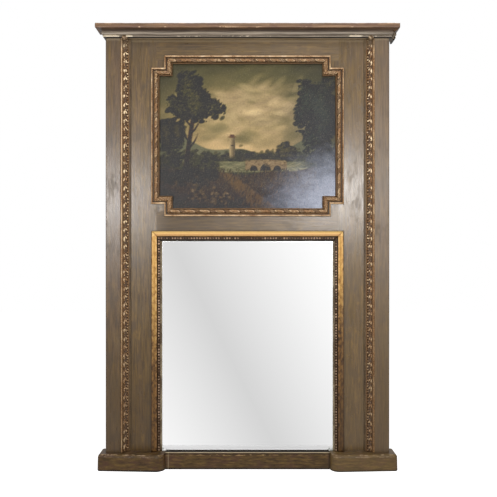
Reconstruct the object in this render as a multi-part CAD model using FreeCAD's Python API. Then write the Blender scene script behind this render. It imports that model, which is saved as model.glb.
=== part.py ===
import FreeCAD, Part
import math
import os

# Trumeau mirror: a tall panelled frame with a painted picture above a mirror plate.
# Millimetres. X runs across the front, -Y faces the viewer, +Z is up.
# The origin is the centre of the bounding box's bottom face.
#
# "Depth" below means the distance in front of the pilaster face: positive towards the
# viewer, negative towards the wall. "Proud" means the distance in front of the recessed field.

# Carcass
BODY_WIDTH = 1044.0
BODY_HEIGHT = 1630.0
BOARD_THICK = 28.0
PILASTER_WIDTH = 54.0
PILASTER_THICK = 22.0
PILASTER_ARRIS_RADIUS = 3.0
STRIP_WIDTH = 36.5
FIELD_WIDTH = 75.5
TENON_LENGTH = 45.0
TENON_THICK = 10.0
TENON_SHOULDER = 12.0

# Back boards, let into rebates in the carcass
BACK_BOARD_THICK = 6.0
BACK_REBATE_WIDTH = 14.0
BACK_BOARD_GAP = 0.6
MIRROR_PLANKS = 3
SCREW_SHANK_RADIUS = 1.6
SCREW_HEAD_RADIUS = 3.6
SCREW_HEAD_DEPTH = 2.4
SCREW_LENGTH = 20.0
SCREW_CLEARANCE = 0.05

# Plinth
PLINTH_HEIGHT = 60.0
PLINTH_INNER_PROJECTION = 40.0
PLINTH_OUTER_PROJECTION = 27.0
PLINTH_SIDE_PROJECTION = 26.5
PLINTH_EDGE_RADIUS = 6.5
PLINTH_CORNER_RADIUS = 13.5
PLINTH_NOSE_RADIUS = 34.0
PLINTH_LENGTH = 247.5
BASE_RAIL_HEIGHT = 63.0
BASE_RAIL_LAP = 13.0
BASE_RAIL_PROJECTION = 6.0
BASE_RAIL_LIP_HEIGHT = 6.0
BASE_RAIL_LIP_PROJECTION = 3.0

# Cornice: heights above its underside, projections from the pilaster face
CORNICE_HEIGHT = 46.0
CORNICE_PROJECTION = 32.0
CORNICE_BEAD_HEIGHT = 7.0
CORNICE_BEAD_PROJECTION = 9.0
CORNICE_ROUND_HEIGHT = 14.5
CORNICE_ROUND_PROJECTION = 13.5
CORNICE_ROUND_SWELL = 3.0
CORNICE_QUIRK = 1.0
CORNICE_COVE_DEPTH = 3.0
CORNICE_FASCIA_HEIGHT = 15.0
CORNICE_FASCIA_ROUNDING = 2.0
RIGHT_RETURN_TILT_DEG = 16.0

# Carved strip between pilaster and field
STRIP_FILLET_WIDTH = 6.5
STRIP_FILLET_PROUD_OF_PILASTER = 3.5
STRIP_INNER_FLAT = 8.5
STRIP_INNER_PROUD = 4.5
STRIP_ROUNDING = 2.0
STRIP_QUIRK_WIDTH = 1.5
STRIP_BED_DROP = 3.0
STRIP_BED_FOOT = 2.5
STRIP_BED_SWELL = 4.0
LEAF_PITCH = 30.9
LEAF_LENGTH = 23.0
LEAF_RADIUS = 5.0
LEAF_STEM_RADIUS = 0.8
LEAF_RISE = 1.0

# Picture frame
PICTURE_FRAME_DROP = 105.5
PICTURE_FRAME_HEIGHT = 594.5
PICTURE_LAP = 18.5
PICTURE_NOTCH_WIDTH = 48.6
PICTURE_NOTCH_HEIGHT = 45.3
PICTURE_FILLET_WIDTH = 7.0
PICTURE_FILLET_PROUD = 10.0
PICTURE_FILLET_ROUNDING = 1.5
PICTURE_QUIRK_WIDTH = 4.0
PICTURE_QUIRK_PROUD = 4.0
PICTURE_ROD_WIDTH = 18.5
PICTURE_ROD_PROUD = 18.0
PICTURE_ROD_FLATS = 10
PICTURE_TONGUE_CLEARANCE = 0.5
RIBBON_PITCH = 55.0
RIBBON_SPLIT = 14.0
RIBBON_GROOVE_WIDTH = 2.4
RIBBON_GROOVE_DEPTH = 3.0
RIBBON_SLANT_DEG = 40.0

# Picture: canvas on a stretcher behind corner spandrels
SPANDREL_THICK = 6.0
CANVAS_THICK = 1.0
CANVAS_WRAP_DEPTH = 12.0
CANVAS_EDGE_CLEARANCE = 2.0
STRETCHER_WIDTH = 38.0
STRETCHER_KEY_LENGTH = 16.0
STRETCHER_KEY_THICK = 5.0
TACK_HEAD_RADIUS = 3.5
TACK_HEAD_THICK = 1.0
TACK_SHANK_RADIUS = 0.8
TACK_SHANK_LENGTH = 9.0
TACK_SPACING = 95.0

# Mirror frame and plate
MIRROR_FRAME_DROP = 53.5
MIRROR_LAP = 18.0
GILT_WIDTH = 21.0
GILT_PROUD = 14.0
GILT_HOLLOW_DEPTH = 2.0
GILT_FLAT_WIDTH = 5.0
GILT_OUTER_RADIUS = 4.0
GILT_INNER_RADIUS = 2.0
BEAD_STRIP_WIDTH = 18.0
BEAD_STRIP_PROUD = 4.0
BEAD_RADIUS = 4.5
BEAD_CORE_RADIUS = 1.8
BEAD_PITCH = 10.1
BEAD_CENTRE_INSET = 7.0
BEAD_CENTRE_RISE = 1.0
BEAD_RIDGE = 1.0
BEAD_STRIP_TOE = 0.5
GLASS_THICK = 5.0
GLASS_SETBACK = 3.0
GLASS_EDGE_CLEARANCE = 2.0
GLAZING_BLOCK_LENGTH = 45.0
GLAZING_BLOCK_SIZE = 12.0
GLAZING_BLOCK_HEIGHTS = (0.15, 0.5, 0.85)
GLAZING_BLOCK_PLACES = (-0.5, 0.5)

# Hanging rings on the back
HANGER_INSET = 92.0
HANGER_DROP = 130.0
HANGER_PLATE_WIDTH = 58.0
HANGER_PLATE_HEIGHT = 18.0
HANGER_PLATE_THICK = 1.5
HANGER_SCREW_SPACING = 40.0
HANGER_KNUCKLE_LENGTH = 14.0
HANGER_KNUCKLE_WALL = 1.5
HANGER_KNUCKLE_DROP = 1.0
HANGER_WRAP_RISE = 2.0
RING_WIRE_RADIUS = 2.0
RING_RUNNING_CLEARANCE = 0.08
RING_HALF_WIDTH = 13.0
RING_LEG_LENGTH = 8.0
RING_CORNER_RADIUS = 5.0
RING_STAND_OFF = 1.9

# Derived places
ARC_INSET = 1 - math.sqrt(0.5)
HALF_BODY = BODY_WIDTH / 2
CARCASS_DEPTH = PILASTER_THICK + BOARD_THICK
HANGER_X = HALF_BODY - HANGER_INSET
HANGER_Z = BODY_HEIGHT - HANGER_DROP
KNUCKLE_BORE_RADIUS = RING_WIRE_RADIUS + RING_RUNNING_CLEARANCE
KNUCKLE_RADIUS = KNUCKLE_BORE_RADIUS + HANGER_KNUCKLE_WALL
HANGER_PROUD = RING_STAND_OFF + RING_WIRE_RADIUS + KNUCKLE_RADIUS
PLINTH_SIDE_X = HALF_BODY + PLINTH_SIDE_PROJECTION
BASE_RAIL_HALF = PLINTH_SIDE_X - PLINTH_LENGTH
PLINTH_SLOPE = (PLINTH_INNER_PROJECTION - PLINTH_OUTER_PROJECTION) / PLINTH_LENGTH
PLINTH_FRONT = PLINTH_INNER_PROJECTION - PLINTH_NOSE_RADIUS * (PLINTH_SLOPE + math.hypot(1, PLINTH_SLOPE) - 1)
PILASTER_Y = (PLINTH_FRONT - CARCASS_DEPTH - HANGER_PROUD) / 2
FIELD_Y = PILASTER_Y + PILASTER_THICK
BACK_Y = PILASTER_Y + CARCASS_DEPTH
MIRROR_FRAME_HALF = HALF_BODY - PILASTER_WIDTH - STRIP_WIDTH - FIELD_WIDTH
HALF_OPENING = MIRROR_FRAME_HALF - MIRROR_LAP
PICTURE_FRAME_HALF = HALF_OPENING + PICTURE_LAP
PICTURE_FRAME_TOP = BODY_HEIGHT - PICTURE_FRAME_DROP
PICTURE_FRAME_BOTTOM = PICTURE_FRAME_TOP - PICTURE_FRAME_HEIGHT
PICTURE_OPENING_TOP = PICTURE_FRAME_TOP - PICTURE_LAP
PICTURE_OPENING_BOTTOM = PICTURE_FRAME_BOTTOM + PICTURE_LAP
PICTURE_BAND = PICTURE_FILLET_WIDTH + PICTURE_QUIRK_WIDTH + PICTURE_ROD_WIDTH
MIRROR_FRAME_TOP = PICTURE_FRAME_BOTTOM - MIRROR_FRAME_DROP
MIRROR_OPENING_TOP = MIRROR_FRAME_TOP - MIRROR_LAP
LOWER_RAIL_HEIGHT = BASE_RAIL_HEIGHT - BASE_RAIL_LAP
CORNICE_BOTTOM = BODY_HEIGHT - CORNICE_HEIGHT
GLASS_Y = FIELD_Y + GLASS_SETBACK
CANVAS_Y = FIELD_Y + SPANDREL_THICK
FAR = 4000.0


def vec(x, y, z):
    return FreeCAD.Vector(x, y, z)


def box(x0, x1, y0, y1, z0, z1):
    return Part.makeBox(x1 - x0, y1 - y0, z1 - z0, vec(x0, y0, z0))


def cylinder_between(start, end, radius):
    run = end - start
    return Part.makeCylinder(radius, run.Length, start, run)


def outline(start, steps, place):
    """Closed wire. A step is (end,) for a line or (via, end) for an arc."""
    edges = []
    here = start
    for step in steps + [(start,)]:
        end = step[-1]
        if len(step) == 2:
            edges.append(Part.Arc(place(here), place(step[0]), place(end)).toShape())
        else:
            edges.append(Part.LineSegment(place(here), place(end)).toShape())
        here = end
    return Part.Wire(edges)


def arc_middle(start, end, rise):
    """Middle point of an arc that rises to the left of the run from start to end."""
    run_x = end[0] - start[0]
    run_z = end[1] - start[1]
    share = rise / math.hypot(run_x, run_z)
    return ((start[0] + end[0]) / 2 - run_z * share, (start[1] + end[1]) / 2 + run_x * share)


def prism(wire, run):
    return Part.Face(wire).extrude(run)


def polygon_prism(points, run):
    return prism(Part.makePolygon(points + [points[0]]), run)


def mirrored(shape):
    return shape.mirror(vec(0, 0, 0), vec(1, 0, 0))


def both_sides(name, right):
    return {name + "_right": right, name + "_left": mirrored(right)}


def fused(shapes):
    return shapes[0].multiFuse(shapes[1:]).removeSplitter()


# ---------------------------------------------------------------- mitred mouldings

def inward(start, end):
    """Inward normal of a leg of a clockwise path in the XZ plane."""
    length = math.hypot(end[0] - start[0], end[1] - start[1])
    return ((end[1] - start[1]) / length, (start[0] - end[0]) / length)


def inset_point(path, index, distance, closed):
    """The path's corner moved inward, on its mitre line."""
    count = len(path)
    shift_x = 0.0
    shift_z = 0.0
    if closed or index > 0:
        normal = inward(path[index - 1], path[index])
        shift_x += normal[0]
        shift_z += normal[1]
    if closed or index < count - 1:
        normal = inward(path[index], path[(index + 1) % count])
        shift_x += normal[0]
        shift_z += normal[1]
    return (path[index][0] + shift_x * distance, path[index][1] + shift_z * distance)


def inset_path(path, distance, closed):
    return [inset_point(path, i, distance, closed) for i in range(len(path))]


def mitred_leg(path, index, band, start, steps, closed):
    """One straight moulding. Its profile is in (inset from the outer line, proud of the field)."""
    following = (index + 1) % len(path)
    head = path[index]
    tail = path[following]
    normal = inward(head, tail)
    along = vec(-normal[1], 0, normal[0])
    margin = along * (2 * band)

    def place(point):
        inset, proud = point
        return vec(head[0] + normal[0] * inset, FIELD_Y - proud, head[1] + normal[1] * inset) - margin

    length = math.hypot(tail[0] - head[0], tail[1] - head[1])
    bar = prism(outline(start, steps, place), along * (length + 4 * band))
    inner_head = inset_point(path, index, band, closed)
    inner_tail = inset_point(path, following, band, closed)
    corners = [vec(p[0], -FAR / 2, p[1]) for p in (head, tail, inner_tail, inner_head)]
    return bar.common(polygon_prism(corners, vec(0, FAR, 0)))


# ---------------------------------------------------------------- carcass

def rebate(x0, x1, z0, z1):
    return box(x0 - BACK_REBATE_WIDTH, x1 + BACK_REBATE_WIDTH, BACK_Y - BACK_BOARD_THICK,
               BACK_Y, z0 - BACK_REBATE_WIDTH, z1 + BACK_REBATE_WIDTH)


def back_rebates():
    mirror = rebate(-HALF_OPENING, HALF_OPENING, LOWER_RAIL_HEIGHT, MIRROR_OPENING_TOP)
    picture = rebate(-HALF_OPENING, HALF_OPENING, PICTURE_OPENING_BOTTOM, PICTURE_OPENING_TOP)
    return [mirror, picture]


def tenoned_rail(z0, z1):
    """Rail between the stiles, with a tenon at each end in the board's middle thickness."""
    middle_y = (FIELD_Y + BACK_Y - BACK_BOARD_THICK) / 2
    body = box(-HALF_OPENING, HALF_OPENING, FIELD_Y, BACK_Y, z0, z1)
    body = body.cut(back_rebates())
    tenon = box(-HALF_OPENING - TENON_LENGTH, HALF_OPENING + TENON_LENGTH,
                middle_y - TENON_THICK / 2, middle_y + TENON_THICK / 2,
                z0 + TENON_SHOULDER, z1 - TENON_SHOULDER)
    return fused([body, tenon])


def rails():
    return {
        "lower_rail": tenoned_rail(0, LOWER_RAIL_HEIGHT),
        "middle_rail": tenoned_rail(MIRROR_OPENING_TOP, PICTURE_OPENING_BOTTOM),
        "frieze_rail": tenoned_rail(PICTURE_OPENING_TOP, BODY_HEIGHT),
    }


def field_stile(rail_shapes):
    board = box(HALF_OPENING, HALF_BODY, FIELD_Y, BACK_Y, 0, BODY_HEIGHT)
    return board.cut(back_rebates() + rail_shapes + [screw_holes(hanger_screw_places(1))])


def pilaster():
    radius = min(PILASTER_ARRIS_RADIUS, PILASTER_THICK / 2)
    bevel = radius * ARC_INSET
    x_in = HALF_BODY - PILASTER_WIDTH

    def place(point):
        return vec(point[0], PILASTER_Y + point[1], PLINTH_HEIGHT)

    steps = [
        ((HALF_BODY - radius, 0),),
        ((HALF_BODY - bevel, bevel), (HALF_BODY, radius)),
        ((HALF_BODY, PILASTER_THICK),),
        ((x_in, PILASTER_THICK),),
    ]
    return prism(outline((x_in, 0), steps, place), vec(0, 0, CORNICE_BOTTOM - PLINTH_HEIGHT))


def cornice_backing():
    """Packing board behind the cornice, level with the pilaster face."""
    return box(-HALF_BODY, HALF_BODY, PILASTER_Y, FIELD_Y, CORNICE_BOTTOM, BODY_HEIGHT)


# ---------------------------------------------------------------- carved strip

def spindle_chain(start, direction, count, pitch, half_length, radius, core_radius):
    """Row of turned swellings on one thin core, a single solid of revolution."""
    side = vec(0, 1, 0)
    steps = []
    for i in range(count):
        middle = i * pitch
        steps.append(((middle - half_length, core_radius),))
        steps.append(((middle, radius), (middle + half_length, core_radius)))
    last = (count - 1) * pitch + half_length
    steps.append(((last, 0.0),))

    def place(point):
        return start + direction * point[0] + side * point[1]

    face = Part.Face(outline((-half_length, 0.0), steps, place))
    return face.revolve(start, direction, 360)


def strip_profile():
    fillet_top = PILASTER_THICK + STRIP_FILLET_PROUD_OF_PILASTER
    fillet_side = fillet_top - STRIP_ROUNDING
    bed_head, bed_foot = strip_bed()
    return [
        ((0, fillet_side),),
        ((STRIP_FILLET_WIDTH / 2, fillet_top), (STRIP_FILLET_WIDTH, fillet_side)),
        ((STRIP_FILLET_WIDTH, bed_head[1]),),
        (bed_head,),
        (arc_middle(bed_head, bed_foot, STRIP_BED_SWELL), bed_foot),
        ((bed_foot[0], STRIP_INNER_PROUD),),
        ((STRIP_WIDTH - STRIP_ROUNDING, STRIP_INNER_PROUD),),
        ((STRIP_WIDTH, STRIP_INNER_PROUD - STRIP_ROUNDING),),
        ((STRIP_WIDTH, 0),),
    ]


def strip_bed():
    """The carved bed's two ends, beside the fillet and beside the inner flat."""
    head = (STRIP_FILLET_WIDTH + STRIP_QUIRK_WIDTH, PILASTER_THICK - STRIP_BED_DROP)
    foot = (STRIP_WIDTH - STRIP_INNER_FLAT, STRIP_INNER_PROUD + STRIP_BED_FOOT)
    return head, foot


def carved_strip():
    """Bolection strip from pilaster to field: a bright fillet, then two rows of leaf lobes."""
    x_outer = HALF_BODY - PILASTER_WIDTH

    def place(point):
        return vec(x_outer - point[0], FIELD_Y - point[1], PLINTH_HEIGHT)

    length = CORNICE_BOTTOM - PLINTH_HEIGHT
    bar = prism(outline((0, 0), strip_profile(), place), vec(0, 0, length))
    count = int((length - LEAF_LENGTH) / LEAF_PITCH) + 1
    margin = (length - (count - 1) * LEAF_PITCH) / 2
    bed_head, bed_foot = strip_bed()
    bed_middle = (bed_head[1] + bed_foot[1]) / 2
    rows = [
        (bed_head[0] + LEAF_RADIUS, bed_head[1]),
        (bed_foot[0] - LEAF_RADIUS, bed_middle + LEAF_RISE),
    ]
    lobes = []
    for inset, proud in rows:
        start = place((inset, proud)) + vec(0, 0, margin)
        lobes.append(spindle_chain(start, vec(0, 0, 1), count, LEAF_PITCH, LEAF_LENGTH / 2,
                                   LEAF_RADIUS, LEAF_STEM_RADIUS))
    return bar.multiFuse(lobes)


# ---------------------------------------------------------------- plinth

def plinth_block():
    """Block under one pilaster. It wraps the body's side and swells towards a round nose."""
    plan = [
        (BASE_RAIL_HALF, -PILASTER_THICK),
        (BASE_RAIL_HALF, PLINTH_INNER_PROJECTION),
        (PLINTH_SIDE_X, PLINTH_OUTER_PROJECTION),
        (PLINTH_SIDE_X, -CARCASS_DEPTH),
        (HALF_BODY, -CARCASS_DEPTH),
        (HALF_BODY, -PILASTER_THICK),
    ]
    points = [vec(x, PILASTER_Y - depth, 0) for x, depth in plan]
    block = polygon_prism(points, vec(0, 0, PLINTH_HEIGHT))
    block = block.makeFillet(PLINTH_NOSE_RADIUS, [upright_edge(block, points[1])])
    block = block.makeFillet(PLINTH_CORNER_RADIUS, [upright_edge(block, points[2])])
    rounded = []
    for edge in block.Edges:
        middle = edge.CenterOfMass
        on_top = middle.z > PLINTH_HEIGHT - 0.01
        at_nose = middle.x < BASE_RAIL_HALF + 0.01
        in_front = middle.y < PILASTER_Y
        at_side = middle.x > PLINTH_SIDE_X - 0.01
        if on_top and (at_nose or in_front or at_side):
            rounded.append(edge)
    radius = min(PLINTH_EDGE_RADIUS, PLINTH_CORNER_RADIUS / 2, PLINTH_HEIGHT / 2)
    return block.makeFillet(radius, rounded)


def upright_edge(solid, foot):
    """The solid's vertical edge that stands on the given point."""
    for edge in solid.Edges:
        low = min(edge.Vertexes, key=lambda vertex: vertex.Z).Point
        if edge.BoundBox.ZLength > 1.0 and low.distanceToPoint(foot) < 0.01:
            return edge
    raise ValueError("no upright edge at %s" % foot)


def base_rail():
    """Low ledge between the blocks. Its top laps the plate's lower edge."""
    lip_foot = BASE_RAIL_HEIGHT - BASE_RAIL_LIP_HEIGHT
    lip_front = BASE_RAIL_PROJECTION + BASE_RAIL_LIP_PROJECTION

    def place(point):
        return vec(-BASE_RAIL_HALF, PILASTER_Y - point[0], point[1])

    steps = [
        ((BASE_RAIL_PROJECTION, 0),),
        ((BASE_RAIL_PROJECTION, lip_foot),),
        ((lip_front, lip_foot + BASE_RAIL_LIP_HEIGHT / 2), (BASE_RAIL_PROJECTION, BASE_RAIL_HEIGHT)),
        ((-PILASTER_THICK - GLASS_SETBACK, BASE_RAIL_HEIGHT),),
        ((-PILASTER_THICK - GLASS_SETBACK, LOWER_RAIL_HEIGHT),),
        ((-PILASTER_THICK, LOWER_RAIL_HEIGHT),),
    ]
    return prism(outline((-PILASTER_THICK, 0), steps, place), vec(2 * BASE_RAIL_HALF, 0, 0))


# ---------------------------------------------------------------- cornice

def cornice_steps():
    """Profile from the underside up: bead, round, cove and fascia, as (projection, height)."""
    bead_top = CORNICE_BEAD_HEIGHT
    bead_centre = CORNICE_BEAD_PROJECTION - bead_top / 2
    round_back = CORNICE_ROUND_PROJECTION - CORNICE_ROUND_SWELL
    round_foot = (round_back, bead_top + CORNICE_QUIRK)
    round_top = (round_back, round_foot[1] + CORNICE_ROUND_HEIGHT)
    soft = CORNICE_FASCIA_ROUNDING
    reach = CORNICE_PROJECTION
    cove_end = (reach - soft, CORNICE_HEIGHT - CORNICE_FASCIA_HEIGHT)
    return [
        ((bead_centre, 0),),
        ((CORNICE_BEAD_PROJECTION, bead_top / 2), (bead_centre, bead_top)),
        (round_foot,),
        (arc_middle(round_foot, round_top, -CORNICE_ROUND_SWELL), round_top),
        (arc_middle(round_top, cove_end, CORNICE_COVE_DEPTH), cove_end),
        ((reach, cove_end[1] + soft),),
        ((reach, CORNICE_HEIGHT - soft),),
        ((reach - ARC_INSET * soft, CORNICE_HEIGHT - ARC_INSET * soft), (reach - soft, CORNICE_HEIGHT)),
        ((0, CORNICE_HEIGHT),),
    ]


def cornice_front():
    def place(point):
        return vec(-HALF_BODY - 2 * CORNICE_PROJECTION, PILASTER_Y - point[0], CORNICE_BOTTOM + point[1])

    bar = prism(outline((0, 0), cornice_steps(), place), vec(BODY_WIDTH + 4 * CORNICE_PROJECTION, 0, 0))
    reach = CORNICE_PROJECTION
    plan = [
        vec(-HALF_BODY, PILASTER_Y, 0),
        vec(HALF_BODY, PILASTER_Y, 0),
        vec(HALF_BODY + reach, PILASTER_Y - reach, 0),
        vec(-HALF_BODY - reach, PILASTER_Y - reach, 0),
    ]
    return bar.common(polygon_prism(plan, vec(0, 0, FAR)))


def cornice_return():
    def place(point):
        return vec(HALF_BODY + point[0], BACK_Y, CORNICE_BOTTOM + point[1])

    bar = prism(outline((0, 0), cornice_steps(), place), vec(0, -CARCASS_DEPTH - 2 * CORNICE_PROJECTION, 0))
    reach = CORNICE_PROJECTION
    plan = [
        vec(HALF_BODY, PILASTER_Y, 0),
        vec(HALF_BODY + reach, PILASTER_Y - reach, 0),
        vec(HALF_BODY + reach, BACK_Y, 0),
        vec(HALF_BODY, BACK_Y, 0),
    ]
    return bar.common(polygon_prism(plan, vec(0, 0, FAR)))


def tilted_return():
    """The right return has sprung: it hangs out at its foot, turned about its top outer edge.

    Its fascia is planed off level with the front cornice's end.
    """
    x_end = HALF_BODY + CORNICE_PROJECTION
    turned = cornice_return()
    turned.rotate(vec(x_end, 0, BODY_HEIGHT), vec(0, 1, 0), -RIGHT_RETURN_TILT_DEG)
    return turned.common(box(HALF_BODY, x_end, -FAR, FAR, 0, BODY_HEIGHT))


# ---------------------------------------------------------------- picture

def picture_path():
    """Outer line of the picture frame, clockwise from the top leg, with notched corners."""
    half = PICTURE_FRAME_HALF
    x_notch = half - PICTURE_NOTCH_WIDTH
    top = PICTURE_FRAME_TOP
    bottom = PICTURE_FRAME_BOTTOM
    z_high = top - PICTURE_NOTCH_HEIGHT
    z_low = bottom + PICTURE_NOTCH_HEIGHT
    return [
        (-x_notch, top), (x_notch, top), (x_notch, z_high), (half, z_high),
        (half, z_low), (x_notch, z_low), (x_notch, bottom), (-x_notch, bottom),
        (-x_notch, z_low), (-half, z_low), (-half, z_high), (-x_notch, z_high),
    ]


def picture_profile():
    """Fillet, quirk and rod on the field, with a tongue that holds the canvas."""
    rod_start = PICTURE_FILLET_WIDTH + PICTURE_QUIRK_WIDTH
    tongue = PICTURE_LAP + PICTURE_TONGUE_CLEARANCE
    fillet_side = PICTURE_FILLET_PROUD - PICTURE_FILLET_ROUNDING
    return [
        ((0, fillet_side),),
        ((PICTURE_FILLET_WIDTH / 2, PICTURE_FILLET_PROUD), (PICTURE_FILLET_WIDTH, fillet_side)),
        ((PICTURE_FILLET_WIDTH, PICTURE_QUIRK_PROUD),),
        ((rod_start, PICTURE_QUIRK_PROUD),),
        *rod_flats(),
        ((PICTURE_BAND, -SPANDREL_THICK),),
        ((tongue, -SPANDREL_THICK),),
        ((tongue, 0),),
    ]


def rod_flats():
    """The rod's rounded back in flats, from the quirk to the inner edge."""
    half = PICTURE_ROD_WIDTH / 2
    rise = PICTURE_ROD_PROUD - PICTURE_QUIRK_PROUD
    radius = (half ** 2 + rise ** 2) / (2 * rise)
    half_sweep = math.atan2(half, radius - rise)
    middle = PICTURE_BAND - half
    steps = []
    for i in range(1, PICTURE_ROD_FLATS + 1):
        angle = half_sweep * (2 * i / PICTURE_ROD_FLATS - 1)
        height = PICTURE_ROD_PROUD - radius * (1 - math.cos(angle))
        steps.append(((middle + radius * math.sin(angle), height),))
    return steps


def ribbon_grooves(head, tail):
    """Slanted pairs of grooves across the rod, where the ribbon wraps it."""
    normal = inward(head, tail)
    along = vec(-normal[1], 0, normal[0])
    inset = PICTURE_BAND - PICTURE_ROD_WIDTH / 2
    length = math.hypot(tail[0] - head[0], tail[1] - head[1])
    count = int((length - 2 * PICTURE_BAND) / RIBBON_PITCH)
    first = (length - (count - 1) * RIBBON_PITCH) / 2
    grooves = []
    for i in range(count):
        for side in (-0.5, 0.5):
            place = first + i * RIBBON_PITCH + side * RIBBON_SPLIT
            centre = vec(head[0] + normal[0] * inset, 0, head[1] + normal[1] * inset) + along * place
            reach = PICTURE_ROD_WIDTH
            bottom_y = FIELD_Y - PICTURE_ROD_PROUD
            cutter = box(-RIBBON_GROOVE_WIDTH / 2, RIBBON_GROOVE_WIDTH / 2, bottom_y - RIBBON_GROOVE_DEPTH,
                         bottom_y + RIBBON_GROOVE_DEPTH, -reach, reach)
            cutter.rotate(vec(0, 0, 0), vec(0, 1, 0), RIBBON_SLANT_DEG + (0 if along.z == 0 else 90))
            cutter.translate(centre)
            grooves.append(cutter)
    return grooves


def picture_frame():
    path = picture_path()
    legs = []
    for i in range(len(path)):
        leg = mitred_leg(path, i, PICTURE_BAND, (0, 0), picture_profile(), True)
        grooves = ribbon_grooves(path[i], path[(i + 1) % len(path)])
        if grooves:
            leg = leg.cut(grooves)
        legs.append(leg)
    return {
        "picture_frame_top": legs[0],
        "picture_corner_top_right": fused([legs[1], legs[2]]),
        "picture_frame_right": legs[3],
        "picture_corner_bottom_right": fused([legs[4], legs[5]]),
        "picture_frame_bottom": legs[6],
        "picture_corner_bottom_left": fused([legs[7], legs[8]]),
        "picture_frame_left": legs[9],
        "picture_corner_top_left": fused([legs[10], legs[11]]),
    }


def spandrels():
    """Corner boards, level with the field, that carry the notched corners."""
    x_in = PICTURE_FRAME_HALF - PICTURE_NOTCH_WIDTH - PICTURE_LAP
    z_high = PICTURE_FRAME_TOP - PICTURE_NOTCH_HEIGHT - PICTURE_LAP
    z_low = PICTURE_FRAME_BOTTOM + PICTURE_NOTCH_HEIGHT + PICTURE_LAP
    upper = box(x_in, HALF_OPENING, FIELD_Y, CANVAS_Y, z_high, PICTURE_OPENING_TOP)
    lower = box(x_in, HALF_OPENING, FIELD_Y, CANVAS_Y, PICTURE_OPENING_BOTTOM, z_low)
    nodes = both_sides("spandrel_top", upper)
    nodes.update(both_sides("spandrel_bottom", lower))
    return nodes


def stretcher_path():
    """Outer line of the stretcher, clockwise from its top left corner."""
    half = HALF_OPENING - CANVAS_EDGE_CLEARANCE - CANVAS_THICK
    top = PICTURE_OPENING_TOP - CANVAS_EDGE_CLEARANCE - CANVAS_THICK
    bottom = PICTURE_OPENING_BOTTOM + CANVAS_EDGE_CLEARANCE + CANVAS_THICK
    return [(-half, top), (half, top), (half, bottom), (-half, bottom)]


def tack_places():
    """Points on the canvas's edge faces, with the inward direction."""
    depth = CANVAS_Y + CANVAS_THICK + (CANVAS_WRAP_DEPTH - CANVAS_THICK) / 2
    path = stretcher_path()
    places = []
    for i in range(len(path)):
        head = path[i]
        tail = path[(i + 1) % len(path)]
        normal = inward(head, tail)
        length = math.hypot(tail[0] - head[0], tail[1] - head[1])
        count = int(length / TACK_SPACING)
        spacing = length / count
        for k in range(count):
            share = (k + 0.5) * spacing / length
            x = head[0] + (tail[0] - head[0]) * share - normal[0] * CANVAS_THICK
            z = head[1] + (tail[1] - head[1]) * share - normal[1] * CANVAS_THICK
            places.append((vec(x, depth, z), vec(normal[0], 0, normal[1])))
    return places


def tack(place, direction):
    crown = place - direction * TACK_HEAD_THICK
    head = Part.makeCylinder(TACK_HEAD_RADIUS, TACK_HEAD_THICK, crown, direction)
    shank = Part.makeCylinder(TACK_SHANK_RADIUS, TACK_SHANK_LENGTH, place, direction)
    return head.fuse(shank)


def tack_holes():
    radius = TACK_SHANK_RADIUS + SCREW_CLEARANCE
    length = TACK_SHANK_LENGTH + SCREW_CLEARANCE
    holes = [Part.makeCylinder(radius, length, place, direction) for place, direction in tack_places()]
    return Part.makeCompound(holes)


def canvas():
    """Painted canvas, folded over the stretcher's edges."""
    path = stretcher_path()
    half = path[1][0] + CANVAS_THICK
    top = path[1][1] + CANVAS_THICK
    bottom = path[2][1] - CANVAS_THICK
    sheet = box(-half, half, CANVAS_Y, CANVAS_Y + CANVAS_WRAP_DEPTH, bottom, top)
    hollow = box(-path[1][0], path[1][0], CANVAS_Y + CANVAS_THICK, CANVAS_Y + FAR, path[2][1], path[1][1])
    return sheet.cut([hollow, tack_holes()])


def stretcher():
    """Four mitred bars, a cross bar and the corner keys."""
    path = stretcher_path()
    front = CANVAS_Y + CANVAS_THICK
    back = BACK_Y - BACK_BOARD_THICK
    steps = [
        ((0, FIELD_Y - back),),
        ((STRETCHER_WIDTH, FIELD_Y - back),),
        ((STRETCHER_WIDTH, FIELD_Y - front),),
    ]
    names = ["stretcher_top", "stretcher_right", "stretcher_bottom", "stretcher_left"]
    nodes = {}
    holes = tack_holes()
    for i, name in enumerate(names):
        bar = mitred_leg(path, i, STRETCHER_WIDTH, (0, FIELD_Y - front), steps, True)
        nodes[name] = bar.cut(holes)
    inner = inset_path(path, STRETCHER_WIDTH, True)
    half_bar = STRETCHER_WIDTH / 2
    nodes["stretcher_cross_bar"] = box(-half_bar, half_bar, front, back, inner[2][1], inner[1][1])
    middle = (front + back) / 2
    keys = []
    for corner in inner:
        toward_x = -math.copysign(STRETCHER_KEY_LENGTH, corner[0])
        toward_z = math.copysign(STRETCHER_KEY_LENGTH, (inner[1][1] + inner[2][1]) / 2 - corner[1])
        points = [
            vec(corner[0], middle - STRETCHER_KEY_THICK / 2, corner[1]),
            vec(corner[0] + toward_x, middle - STRETCHER_KEY_THICK / 2, corner[1]),
            vec(corner[0], middle - STRETCHER_KEY_THICK / 2, corner[1] + toward_z),
        ]
        keys.append(polygon_prism(points, vec(0, STRETCHER_KEY_THICK, 0)))
    nodes["stretcher_keys"] = Part.makeCompound(keys)
    nodes["canvas_tacks"] = Part.makeCompound([tack(place, direction) for place, direction in tack_places()])
    return nodes


# ---------------------------------------------------------------- mirror

def mirror_path():
    """Outer line of the mirror frame: up the left side, across the top, down the right side."""
    half = MIRROR_FRAME_HALF
    top = MIRROR_FRAME_TOP
    return [(-half, PLINTH_HEIGHT), (-half, top), (half, top), (half, PLINTH_HEIGHT)]


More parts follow.
